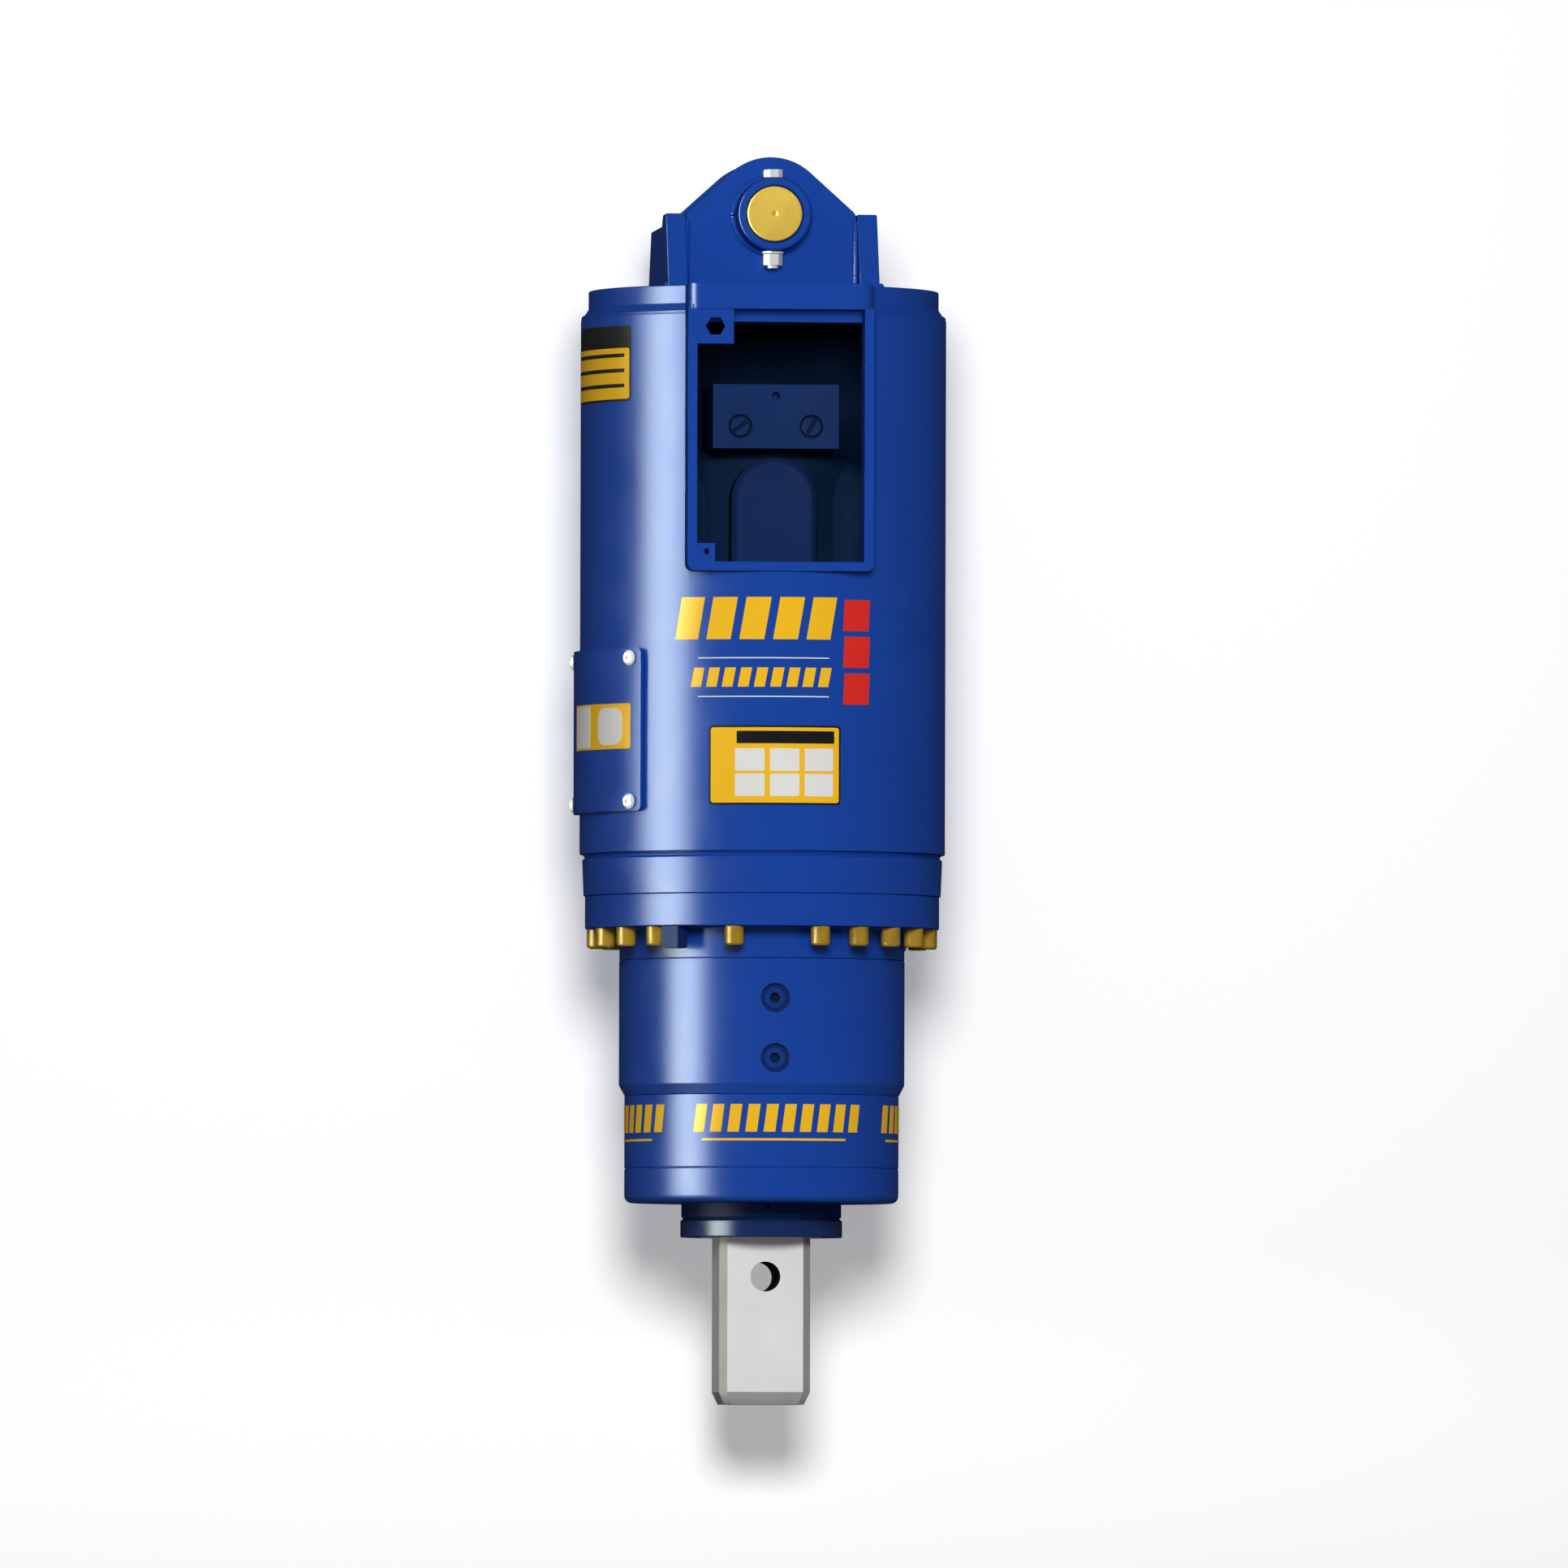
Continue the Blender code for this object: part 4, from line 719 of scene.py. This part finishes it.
def top_bar_corners(low):
    """What is cut off the top bar to round its upright front corners."""
    radius, shapes = 0.016, []
    for side in (-1, 1):
        centre = (FRAME_HALF - radius, radius - FRAME_FRONT)
        outline = [
            (FRAME_HALF + radius, centre[1]), *arc(radius, 0, -math.pi / 2, 12, centre),
            (centre[0], -FRAME_FRONT - radius), (FRAME_HALF + radius, -FRAME_FRONT - radius),
        ]
        shapes.append(prism([(side * x, y) for x, y in outline], low, 0.0))
    return shapes


def cover_bolt_places():
    low, high = levels("side_cover")
    low, high = low + COVER_BOLT_INSET, high - COVER_BOLT_INSET
    middle, spread = math.radians(-75), math.radians(25.2)
    return [(middle + side * spread, level) for level in (high, low) for side in (-1, 1)]


def cover_bolt_holes():
    return [
        moved(prism(circle(0.0053, NARROW), 0.18, 0.3), facing(angle, level))
        for angle, level in cover_bolt_places()
    ]


def add_hood_tube(looks):
    low, high = levels("hood_tube")
    frame_low, frame_high = levels("window_frame")
    tube = lathe([
        (TUBE_BORE, low), (TUBE_RADIUS, low, 0.001), (TUBE_RADIUS, high, 0.001), (TUBE_BORE, high),
    ])
    window = moved(prism(frame_outline(GAP, frame_low, frame_high + 0.01), 0.1, 0.3), facing())
    low, high = levels("side_cover")
    access = panel_columns(
        *ACCESS_SIDES, low + ACCESS_INSET, high - ACCESS_INSET, TUBE_RADIUS, COVER_CORNER,
    )
    made = add(
        "hood_tube_fine", tube, looks["paint"], ["hood_tube"],
        cuts=[window, wrapped(access, 0.15, 0.25), *cover_bolt_holes()],
    )
    # Painted shade: the tube's inner faces get the near-black shade colour
    paint_faces(made, looks["inside"], lambda c, n: math.hypot(c.x, c.y) < TUBE_BORE + 0.001)


def add_top_plate(looks):
    top = levels("hood_top_plate")[1]
    bottom, tube_top = top - TOP_PLATE_THICKNESS, levels("hood_tube")[1]
    edge = TUBE_BORE - GAP
    plate = lathe([
        (0, top), (edge, top, 0.0015), (edge, tube_top + 0.0113, 0.002),
        (TUBE_RADIUS - 0.001, tube_top + GAP, 0.003),
        (edge, tube_top + GAP), (edge, bottom), (0, bottom),
    ])
    half = FRAME_HALF + GAP
    notch = prism(rectangle(-half, half, bottom - 0.04, top + 0.04), FRAME_REAR - GAP, 0.4)
    made = add(
        "hood_top_plate_fine", plate, looks["paint"], ["hood_top_plate"],
        cuts=[moved(notch, facing())],
    )
    # Painted shade: the plate's underside gets the near-black shade colour
    paint_faces(made, looks["inside"], lambda c, n: n.z < -0.5 and c.z < bottom + 0.002)
    half_turn = math.asin(half / TUBE_RADIUS)
    start, end = -math.pi / 2 + half_turn, 1.5 * math.pi - half_turn
    ring = [(x, y, tube_top + 0.0015) for x, y in arc(TUBE_RADIUS - 0.0030, start, end, 140)]
    add("hood_seam_weld", bead(ring, 0.0026, ripple=0.10, pitch=0.005), looks["paint"])


def add_side_cover(looks):
    columns = panel_columns(*COVER_SIDES, *levels("side_cover"), COVER_OUTER, COVER_CORNER, 40)
    add(
        "side_cover_fine", wrapped(columns, COVER_RADIUS, COVER_OUTER), looks["paint"],
        ["side_cover"], bevel=0.0009, cuts=cover_bolt_holes(),
    )
    shank, head, seat = 0.005, 0.0085, COVER_OUTER + GAP
    for number, (angle, level) in enumerate(cover_bolt_places(), 1):
        bolt = lathe([
            (0, TUBE_BORE), (shank, TUBE_BORE, 0.0005), (shank, seat), (head, seat, 0.0004),
            (head, seat + 0.002, 0.0015), (0.0055, seat + 0.0048, 0.002), (0, seat + 0.005),
        ], SMALL)
        socket = prism(hexagon(0.005), seat + 0.002, seat + 0.01)
        place = facing(angle, level)
        add(
            f"side_cover_screw_{number}", moved(bolt, place), looks["zinc"],
            [f"side_cover_bolt_{number}"], cuts=[moved(socket, place)],
        )


# Bolted joint

def add_base_ring(looks):
    bottom, top = levels("hood_base_ring")
    seam = levels("hood_tube")[0] - GAP
    spigot = TUBE_BORE - GAP
    ring = lathe([
        (RING_BORE, bottom, 0.001), (RING_RADIUS - 0.0015, bottom, 0.0008),
        (RING_RADIUS, seam - 0.0062, 0.0012), (RING_RADIUS - 0.0030, seam - 0.0030, 0.0006),
        (RING_RADIUS - 0.0004, seam, 0.0006), (spigot, seam), (spigot, top, 0.001), (RING_BORE, top, 0.001),
    ])
    add("hood_base_ring_fine", ring, looks["paint"], ["hood_base_ring"], cuts=bolt_holes())


def bolt_turns():
    return [2 * math.pi * k / BOLT_PLACES for k in range(BOLT_PLACES) if k not in EMPTY_PLACES]


def bolt_holes():
    low, high = levels("flange_bolt_01")
    places = [Matrix.Translation(outwards(BOLT_CIRCLE_RADIUS, turn, 0)) for turn in bolt_turns()]
    return [moved(prism(circle(BOLT_HOLE_RADIUS, 20), low - 0.02, high + GAP), place) for place in places]


def add_flange(looks):
    hub_bottom, top = levels("gearbox_flange")
    bottom = top - FLANGE_THICKNESS
    flange = lathe([
        (FLANGE_BORE, top), (FLANGE_RADIUS, top, 0.0010), (FLANGE_RADIUS, bottom, 0.0018),
        (CASE_RADIUS, bottom, 0.003), (CASE_RADIUS, hub_bottom, 0.0012), (HUB_BORE, hub_bottom),
        (HUB_BORE, bottom), (FLANGE_BORE, bottom),
    ])
    half_width, half_depth, middle = 0.01025, 0.010, -BOLT_CIRCLE_RADIUS
    footprint = rectangle(-half_width, half_width, middle - half_depth, middle + half_depth)
    block = prism(footprint, bottom - 0.024, bottom + 0.01)
    made = add(
        "gearbox_flange_fine", flange, looks["paint"], ["gearbox_flange"],
        joins=[moved(block, Matrix.Rotation(BLOCK_TURN, 4, "Z"))], cuts=bolt_holes(),
    )
    # Painted shade: the block's faces under the flange get the darker, duller blue
    paint_faces(
        made, looks["dull_painted_shade"],
        lambda c, n: c.z < bottom - 0.001 and math.hypot(c.x, c.y) > CASE_RADIUS + 0.008,
    )


def add_flange_bolts(looks):
    """Socket-head cap screws: 22 objects that share one mesh."""
    low, high = levels("flange_bolt_01")
    seat, thread, head = low + 0.0205, 0.007, 0.0105
    screw = lathe([
        (0, high), (0.0058, high, 0.001), (thread, high - 0.003, 0.001), (thread, seat + 0.001, 0.001),
        (head, seat, 0.0005), (head, low + 0.0020, 0.0008), (0.0090, low, 0.0005), (0, low),
    ], SMALL)
    first = new_object("flange_screw_mesh", mesh_of("flange_screw", screw))
    carve(first, prism(hexagon(0.012), low - 0.01, low + 0.011))
    shared = first.data
    bpy.data.objects.remove(first)
    shared.materials.append(looks["bolt_gold"])
    for number, turn in enumerate(bolt_turns(), 1):
        made = new_object(f"flange_screw_{number:02d}", shared)
        made.location = outwards(BOLT_CIRCLE_RADIUS, turn, 0)
        made.rotation_euler = (0, 0, turn + number)
        soften(made, 0.0)
        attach(made, "housing")
        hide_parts(f"flange_bolt_{number:02d}")


# Gearbox

def plug_level(node):
    return sum(levels(node)) / 2


def add_gear_case(looks):
    """The skin and the plugs' sinks, which lie on the solid with its rings of teeth."""
    bottom, top = levels("gear_case")
    skin = lathe([
        (CASE_RADIUS - 0.0010, top - 0.0002), (CASE_RADIUS + 0.0002, top - 0.0002, 0.0008),
        (CASE_RADIUS + 0.0002, bottom + 0.0114, 0.003), (CASE_RADIUS - 0.0058, bottom, 0.0008),
        (CASE_RADIUS - 0.0068, bottom), (CASE_RADIUS - 0.0010, bottom + 0.0112),
    ])
    bore, foot, floor, rim = 0.0123, 0.1508, 0.1514, CASE_RADIUS - 0.0004
    sinks = []
    for node in PLUGS:
        place = facing(0, plug_level(node))
        sinks.append(moved(prism(circle(SINK_RADIUS, MIDDLE), 0.1, 0.2), place))
        cup = lathe([
            (bore, foot), (SINK_RADIUS, foot), (SINK_RADIUS, rim, 0.0003), (0.0154, rim, 0.0003),
            (0.0150, floor, 0.0004), (bore, floor),
        ], MIDDLE)
        # Painted shade: each sink cup is the darker, duller blue
        add(f"{node}_sink", moved(cup, place), looks["dull_painted_shade"])
    add("gear_case_skin", skin, looks["paint"], cuts=sinks)


def add_plugs(looks):
    radius, foot, face = 0.0120, 0.1400, 0.1524
    for node in PLUGS:
        middle = plug_level(node)
        place = facing(0, middle)
        plug = lathe([(0, foot), (radius, foot), (radius, face, 0.0010), (0, face)], MIDDLE)
        socket = moved(prism(hexagon(0.0105), 0.146, 0.2), place)
        made = add(
            f"{node}_fine", moved(plug, place), looks["plug_paint"], [node], cuts=[socket],
        )
        # Painted shade: the hex socket's faces get the near-black shade colour
        paint_faces(made, looks["inside"], lambda c, n: math.hypot(c.x, c.z - middle) < 0.0061)


def add_bearing_case(looks):
    bottom, top = levels("bearing_case")
    groove, seat, neck = bottom + 0.0375, BEARING_SEAT, 0.080
    low_shoulder, high_shoulder = bottom + 0.0358, top - 0.0323
    case = lathe([
        (seat, top), (BEARING_CASE_RADIUS, top, 0.0008), (BEARING_CASE_RADIUS, groove + 0.0012, 0.0003),
        (BEARING_CASE_RADIUS - 0.0010, groove, 0.0002), (BEARING_CASE_RADIUS, groove - 0.0012, 0.0003),
        (BEARING_CASE_RADIUS, bottom, 0.008), (seat, bottom), (seat, low_shoulder),
        (neck, low_shoulder), (neck, high_shoulder), (seat, high_shoulder),
    ])
    add("bearing_case_fine", case, looks["paint"], ["bearing_case"])


def add_seal_carrier(looks):
    bottom, high = levels("seal_carrier")
    top = bottom + 0.0372
    groove, shelf = top - 0.0153, bottom + 0.0143
    radius, wide, bore, recess = 0.0875, 0.0885, 0.0671, 0.0799
    carrier = lathe([
        (bore, high), (BEARING_RADIUS, high), (BEARING_RADIUS, top + GAP), (radius, top),
        (radius, groove, 0.0006), (radius - 0.0024, groove - 0.0012, 0.0005),
        (wide, groove - 0.004, 0.0012), (wide, bottom, 0.0015), (recess, bottom), (recess, shelf),
        (bore, shelf),
    ])
    hole = moved(prism(circle(0.0026, NARROW), 0.08, 0.1), facing(0, top - 0.0035))
    # Painted shade: the carrier is a darker blue
    made = add(
        "seal_carrier_fine", carrier, looks["seal_painted_shade"], ["seal_carrier"], cuts=[hole],
    )
    # Painted shade: the neck, under the bearing case, is darker and duller still
    paint_faces(made, looks["dull_painted_shade"], lambda c, n: c.z > groove - 0.003)


def add_output_shaft(looks):
    low, high = levels("output_shaft")
    seal_foot = levels("seal_carrier")[0]
    shoulder = levels("second_carrier")[0] - GAP
    half, short, half_end = 0.050, 0.0416, 0.044
    square = [
        (half, -short), (half, short), (short, half), (-short, half),
        (-half, short), (-half, -short), (-short, -half), (short, -half),
    ]
    end = [(x * (half_end / half), y * (half_end / half)) for x, y in square]
    shape = loft([(square, seal_foot + 0.012), (square, low + 0.0136), (end, low)])
    journal = prism(circle(0.0655, WIDE), seal_foot, shoulder)
    teeth = tooth_outline(12, module=0.008, tip=0.0032, root=0.0036, backlash=0.0004)
    spline = prism(teeth, shoulder - 0.012, high)
    hole_level = seal_foot - 0.043
    hole = prism(circle(CROSS_HOLE_RADIUS, MIDDLE), -0.2, 0.2)
    made = add(
        "output_shaft_fine", shape, looks["ground"], ["output_shaft"], body="output",
        bevel=0.0007, joins=[journal, spline], cuts=[moved(hole, facing(0, hole_level))],
    )
    # Painted shade: the corner flats and the end chamfer are a darker copy of the ground steel
    paint_faces(
        made, looks["ground_steel_painted_shade"],
        lambda c, n: c.z < seal_foot and (c.z < low + 0.0130 or abs(abs(n.x) - abs(n.y)) < 0.3),
    )
    # Painted shade: the cross hole's walls are dark grey
    inside = CROSS_HOLE_RADIUS + 0.00005
    paint_faces(
        made, looks["bore"],
        lambda c, n: math.hypot(c.x, c.z - hole_level) < inside and abs(c.y) < half - 0.0005,
    )


# Motor

def add_motor(looks):
    foot, top = levels("motor_body")
    base = levels("gearbox_flange")[1] + GAP
    flange_top, cavity_top = base + 0.026, base + 0.045
    star_foot, shoulder = top - 0.140, top - 0.009
    neck, crown, star, flange, hub, bore = 0.085, 0.100, 0.120, 0.148, 0.075, 0.0218
    body = lathe([
        (0, top), (neck, top, 0.003), (crown, shoulder, 0.002), (crown, star_foot + 0.009, 0.002),
        (star, star_foot + 0.009, 0.003), (star, star_foot - 0.018, 0.006),
        (neck, (star_foot + flange_top) / 2, 0.012), (neck, flange_top, 0.018),
        (flange, flange_top, 0.003), (flange, base, 0.001), (hub, base, 0.001), (hub, foot, 0.001),
        (bore, foot), (bore, cavity_top), (0, cavity_top),
    ])
    half = LOBE_HALF_WIDTH
    spring_line = shoulder - half
    arch = [(-half, star_foot), (half, star_foot), *arc(half, 0, math.pi, 40, (0, spring_line))]
    face = [shrunk(point, (0, spring_line), 0.005) for point in arch]
    lobes = [
        moved(loft([(arch, 0.085), (arch, 0.122), (face, 0.128)]), facing(2 * math.pi * k / LOBES))
        for k in range(LOBES)
    ]
    made = add(
        "motor_body_fine", body, looks["casting"], ["motor_body"],
        bevel=0.002, joins=lobes,
    )
    # Painted shade: all of the motor body but its front lobe's face gets the near-black shade colour
    paint_faces(made, looks["inside"], lambda c, n: c.y > -0.1215)


def shrunk(point, centre, by):
    """The point moved towards the centre line of the arch, so that the arch's edge is rounded off."""
    away = Vector((point[0] - centre[0], max(point[1] - centre[1], 0)))
    if away.length < NEAR_ZERO:
        return point
    moved_by = away * (by / away.length)
    return (point[0] - moved_by.x, point[1] - moved_by.y)


def add_port_block(looks):
    bottom, top = levels("motor_port_block")
    port_level = top - 0.046
    half_width, front = 0.069, -0.145
    block = prism(rectangle(-half_width, half_width, front, 0), bottom, top)
    distributor = prism(circle(0.072, WIDE), bottom, top)
    places = [facing(0, port_level, side * PORT_SPREAD) for side in (-1, 1)]
    ports = [moved(prism(circle(PORT_RADIUS, SMALL), 0.123, 0.2), place) for place in places]
    small = moved(prism(circle(0.0045, 32), 0.130, 0.2), facing(0, top - 0.013))
    made = add(
        "motor_port_block_fine", block, looks["port"], ["motor_port_block"],
        bevel=0.0012, joins=[distributor], cuts=[*ports, small],
    )

    def in_port(c, n):
        off = math.hypot(abs(c.x) - PORT_SPREAD, c.z - port_level)
        return front + 0.0002 < c.y < -0.12 and off < PORT_RADIUS + 0.0001

    # Painted shade: the port holes' walls are dark grey
    paint_faces(made, looks["bore"], in_port)
    body, head, step = 0.0128, 0.0104, 0.1380
    for number, (place, slot_turn) in enumerate(zip(places, (38, 62)), 1):
        plug = lathe([
            (0, 0.1240), (body, 0.1240), (body, step), (head, step), (head, 0.1444, 0.0016), (0, 0.1448),
        ], MIDDLE)
        slot = prism(rectangle(-0.02, 0.02, -0.0022, 0.0022), 0.1400, 0.2)
        turned_slot = moved(slot, place @ Matrix.Rotation(math.radians(slot_turn), 4, "Z"))
        made = add(
            f"port_plug_{number}", moved(plug, place), looks["port"],
            cuts=[turned_slot],
        )
        # Painted shade: the faces sunk in the port, the slot's and the head's rim, get the near-black shade
        # colour
        paint_faces(made, looks["inside"], lambda c, n: -0.1435 < c.y < -0.1370)


# Markings: plain shapes where the photograph has lettering and labels

def add_panel(name, left, right, low, high, material, corner=0.004, lift=FILM_LIFT, radius=TUBE_RADIUS):
    """A film with rounded corners. Its sides are in degrees from front, its levels in metres."""
    inner = radius + lift
    columns = panel_columns(math.radians(left), math.radians(right), low, high, radius, corner)
    add(name, wrapped(columns, inner, inner + FILM_THICKNESS), material)


def add_bar(name, left, right, low, high, material, slant, radius=TUBE_RADIUS):
    """A bar whose upper end leans by the slant, a length in metres."""
    steps = max(6, round(abs(right - left) / BAR_STEP))
    columns = []
    for k in range(steps + 1):
        t = math.radians(left) + math.radians(right - left) * k / steps
        columns.append(((t, low), (t + slant / radius, high)))
    add(name, wrapped(columns, radius + FILM_LIFT, radius + FILM_LIFT + FILM_THICKNESS), material)


def add_markings(looks):
    yellow, dark, red, white = looks["yellow"], looks["dark"], looks["red"], looks["white"]
    start, end, bars = -33.8, 18.8, 5
    step = (end - start) / bars
    for k in range(bars):
        left = start + k * step
        add_bar(f"size_bar_{k + 1}", left, left + 0.74 * step, -0.4668, -0.4208, yellow, 0.008)
    for k in range(3):
        top = -0.4230 - k * 0.040
        add_bar(f"grade_bar_{k + 1}", 20.4, 29.6, top - 0.034, top, red, 0.002)
    for k in range(9):
        left = -28.4 + 5.05 * k
        add_bar(f"name_bar_{k + 1}", left, left + 3.4, -0.5185, -0.4975, yellow, 0.004)
    for half, level in (("upper", -0.4870), ("lower", -0.5290)):
        add_bar(f"name_line_{half}", -26.0, 15.6, level - 0.0006, level + 0.0006, white, 0.0)
    add_panel("front_panel_edge", -22.3, 19.6, -0.6467, -0.5605, dark)
    add_panel("front_panel", -21.7, 19.0, -0.6446, -0.5626, yellow, 0.003, SECOND_LIFT)
    add_panel("front_panel_head", -13.5, 17.4, -0.5800, -0.5665, dark, 0.001, THIRD_LIFT)
    for row in range(2):
        for column in range(3):
            left = -14.0 + column * 10.9
            top = -0.5855 - row * 0.0275
            name = f"front_panel_field_{row * 3 + column + 1}"
            add_panel(name, left, left + 9.2, top - 0.0245, top, white, 0.0015, THIRD_LIFT)
    add_panel("upper_panel_edge", -91.0, -51.6, -0.2050, -0.1228, dark)
    add_panel("upper_panel", -90.3, -52.3, -0.2026, -0.1470, yellow, 0.003, SECOND_LIFT)
    for k in range(3):
        top = -0.1530 - 0.0165 * k
        name = f"upper_panel_line_{k + 1}"
        add_panel(name, -88.5, -54.5, top - 0.0040, top, dark, 0.001, THIRD_LIFT)
    lift, field_lift = 0.0003, 0.0006
    add_panel("cover_panel", -84.0, -49.4, -0.5845, -0.5350, yellow, 0.003, lift, COVER_OUTER)
    add_panel("cover_panel_field", -82.6, -70.5, -0.5825, -0.5370, white, 0.002, field_lift, COVER_OUTER)
    add_panel("cover_panel_spot", -65.2, -53.0, -0.5800, -0.5395, white, 0.012, field_lift, COVER_OUTER)
    add_case_band(yellow)


def add_case_band(yellow):
    """Groups of slanted bars round the bearing case, each with a thin line under it."""
    radius, groups, bars = BEARING_CASE_RADIUS, 4, 10
    for group in range(groups):
        middle = 2.0 + 360.0 / groups * group
        for k in range(bars):
            left = middle - 37.0 + k * 7.6
            name = f"case_bar_{group * bars + k + 1:02d}"
            add_bar(name, left, left + 4.9, -1.0015, -0.9712, yellow, 0.004, radius)
        name = f"case_line_{group + 1}"
        add_bar(name, middle - 33.0, middle + 30.0, -1.0110, -1.0085, yellow, 0.0, radius)


# Light, backdrop and camera

def direction(azimuth, elevation):
    """Where a camera or lamp stands: azimuth 0 is in front, and a negative one to the left."""
    a, e = math.radians(azimuth), math.radians(elevation)
    return Vector((math.sin(a) * math.cos(e), -math.cos(a) * math.cos(e), math.sin(e)))


def stand(made, back, distance, axis="Z"):
    """Stands a lamp or a panel at a distance from the drive's middle, turned to face it."""
    made.location = Vector((0, 0, VIEW_LEVEL)) + back * distance
    made.rotation_euler = back.to_track_quat(axis, "Y").to_euler()


def add_camera():
    data = bpy.data.cameras.new("camera")
    data.sensor_width = SENSOR
    data.lens = SENSOR * CAMERA_DISTANCE / VIEW_WIDTH
    data.clip_end = 80.0
    camera = new_object("camera", data)
    back = direction(CAMERA_AZIMUTH, CAMERA_ELEVATION)
    turn = back.to_track_quat("Z", "Y")
    right = turn @ Vector((1, 0, 0))
    up = turn @ Vector((0, 1, 0))
    camera.location = right * VIEW_RIGHT + up * VIEW_LEVEL + back * CAMERA_DISTANCE
    camera.rotation_euler = (turn @ Quaternion((0, 0, 1), math.radians(CAMERA_ROLL))).to_euler()
    bpy.context.scene.camera = camera


def add_lamp(name, azimuth, elevation, level):
    """A soft round lamp that lights a matt white face turned to it to this level."""
    data = bpy.data.lights.new(name, "AREA")
    data.shape = "DISK"
    data.size = LAMP_SIZE
    data.energy = math.pi ** 2 * level * LAMP_DISTANCE ** 2
    lamp = new_object(name, data)
    lamp.visible_glossy = False
    stand(lamp, direction(azimuth, elevation), LAMP_DISTANCE)


def add_streak_panel():
    """A tall soft panel on the left, seen only in reflections: the bright streak down the paint."""
    bm = bmesh.new()
    corners = rectangle(-STREAK_HALF_WIDTH, STREAK_HALF_WIDTH, -STREAK_HALF_HEIGHT, STREAK_HALF_HEIGHT)
    bm.faces.new([bm.verts.new((x, z, 0)) for x, z in corners])
    panel = new_object("streak_panel", mesh_of("streak_panel", bm))
    stand(panel, direction(STREAK_AZIMUTH, 0), STREAK_DISTANCE, "-Z")
    panel.data.materials.append(streak_surface())
    for ray in ("camera", "diffuse", "transmission", "volume_scatter", "shadow"):
        setattr(panel, f"visible_{ray}", False)


def streak_surface():
    """Light that fades from the panel's middle to its sides."""
    nodes = Nodes("streak_light")
    nodes.tree.nodes.remove(nodes.shader)
    place = nodes.new("ShaderNodeSeparateXYZ")
    nodes.link(nodes.new("ShaderNodeTexCoord").outputs["Object"], place.inputs["Vector"])
    off = calculated(nodes.tree, "ABSOLUTE", place.outputs["X"])
    strength = nodes.ranged(
        off, STREAK_STRENGTH, 0.0, 0.0, STREAK_HALF_WIDTH, interpolation_type="SMOOTHERSTEP",
    )
    light = nodes.new("ShaderNodeEmission")
    light.inputs["Color"].default_value = STREAK_COLOUR
    nodes.link(strength, light.inputs["Strength"])
    nodes.show(light.outputs["Emission"])
    return nodes.material


def seen_rays(tree):
    """1 where the camera, a reflection or a see-through surface looks, and 0 for other light."""
    path = tree.nodes.new("ShaderNodeLightPath").outputs
    seen = calculated(tree, "MAXIMUM", path["Is Camera Ray"], path["Is Glossy Ray"])
    return calculated(tree, "MAXIMUM", seen, path["Is Transmission Ray"])


def backdrop_surface():
    """White to the camera and in reflections, and see-through from behind and below."""
    nodes = Nodes("backdrop")
    shader = nodes.shader
    shader.inputs["Roughness"].default_value = 1.0
    shader.inputs["Specular IOR Level"].default_value = 0.0
    shader.inputs["Emission Color"].default_value = WHITE
    seen = seen_rays(nodes.tree)
    lift = calculated(nodes.tree, "MULTIPLY", seen, BACKDROP_LIFT)
    nodes.link(lift, shader.inputs["Emission Strength"])
    nodes.link(nodes.mixed(seen, BACKDROP_SHADE, BACKDROP_SEEN_SHADE), shader.inputs["Base Color"])
    behind = nodes.new("ShaderNodeNewGeometry").outputs["Backfacing"]
    clear = nodes.new("ShaderNodeBsdfTransparent")
    nodes.show_mixed(behind, shader.outputs["BSDF"], clear.outputs["BSDF"])
    return nodes.material


def add_backdrop():
    """A wall that curves into a floor, as one sheet that faces the camera."""
    curve = arc(SWEEP, 0, -math.pi / 2, 24, (WALL_Y - SWEEP, FLOOR_LEVEL + SWEEP))
    profile = [(WALL_Y, WALL_TOP), *curve, (FLOOR_FRONT, FLOOR_LEVEL)]
    bm = bmesh.new()
    left = [bm.verts.new((-WALL_HALF_WIDTH, y, z)) for y, z in profile]
    right = [bm.verts.new((WALL_HALF_WIDTH, y, z)) for y, z in profile]
    for k in range(1, len(profile)):
        bm.faces.new((left[k - 1], left[k], right[k], right[k - 1]))
    wall = new_object("backdrop", mesh_of("backdrop", bm))
    wall.data.shade_smooth()
    wall.data.materials.append(backdrop_surface())
    wall.visible_shadow = False
    wall.visible_diffuse = False


def set_world():
    world = bpy.data.worlds.new("studio")
    world.use_nodes = True
    background = world.node_tree.nodes["Background"]
    background.inputs["Color"].default_value = WHITE
    level = world.node_tree.nodes.new("ShaderNodeMapRange")
    level.inputs["To Min"].default_value = AMBIENT
    level.inputs["To Max"].default_value = 1.0
    world.node_tree.links.new(seen_rays(world.node_tree), level.inputs["Value"])
    world.node_tree.links.new(level.outputs["Result"], background.inputs["Strength"])
    bpy.context.scene.world = world
    bpy.context.scene.view_settings.view_transform = "Standard"


def dress_inner_nodes(looks):
    """The gears and bearings keep their shapes and get their steel, and the seal its rubber."""
    for name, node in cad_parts.items():
        if not node.hide_render:
            node.data.materials.clear()
            node.data.materials.append(looks[INNER_LOOKS.get(name, "gear")])


def main():
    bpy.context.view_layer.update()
    looks = make_surfaces()
    for step in (
        add_ears, add_gussets, add_hitch_welds, add_pin, add_hood_tube, add_window_frame, add_top_plate,
        add_side_cover, add_base_ring, add_flange, add_flange_bolts, add_gear_case, add_plugs,
        add_bearing_case, add_seal_carrier, add_output_shaft, add_motor, add_port_block, add_markings,
        dress_inner_nodes,
    ):
        step(looks)
    add_camera()
    add_lamp("key", **KEY)
    add_lamp("back", **BACK)
    add_streak_panel()
    add_backdrop()
    set_world()


main()
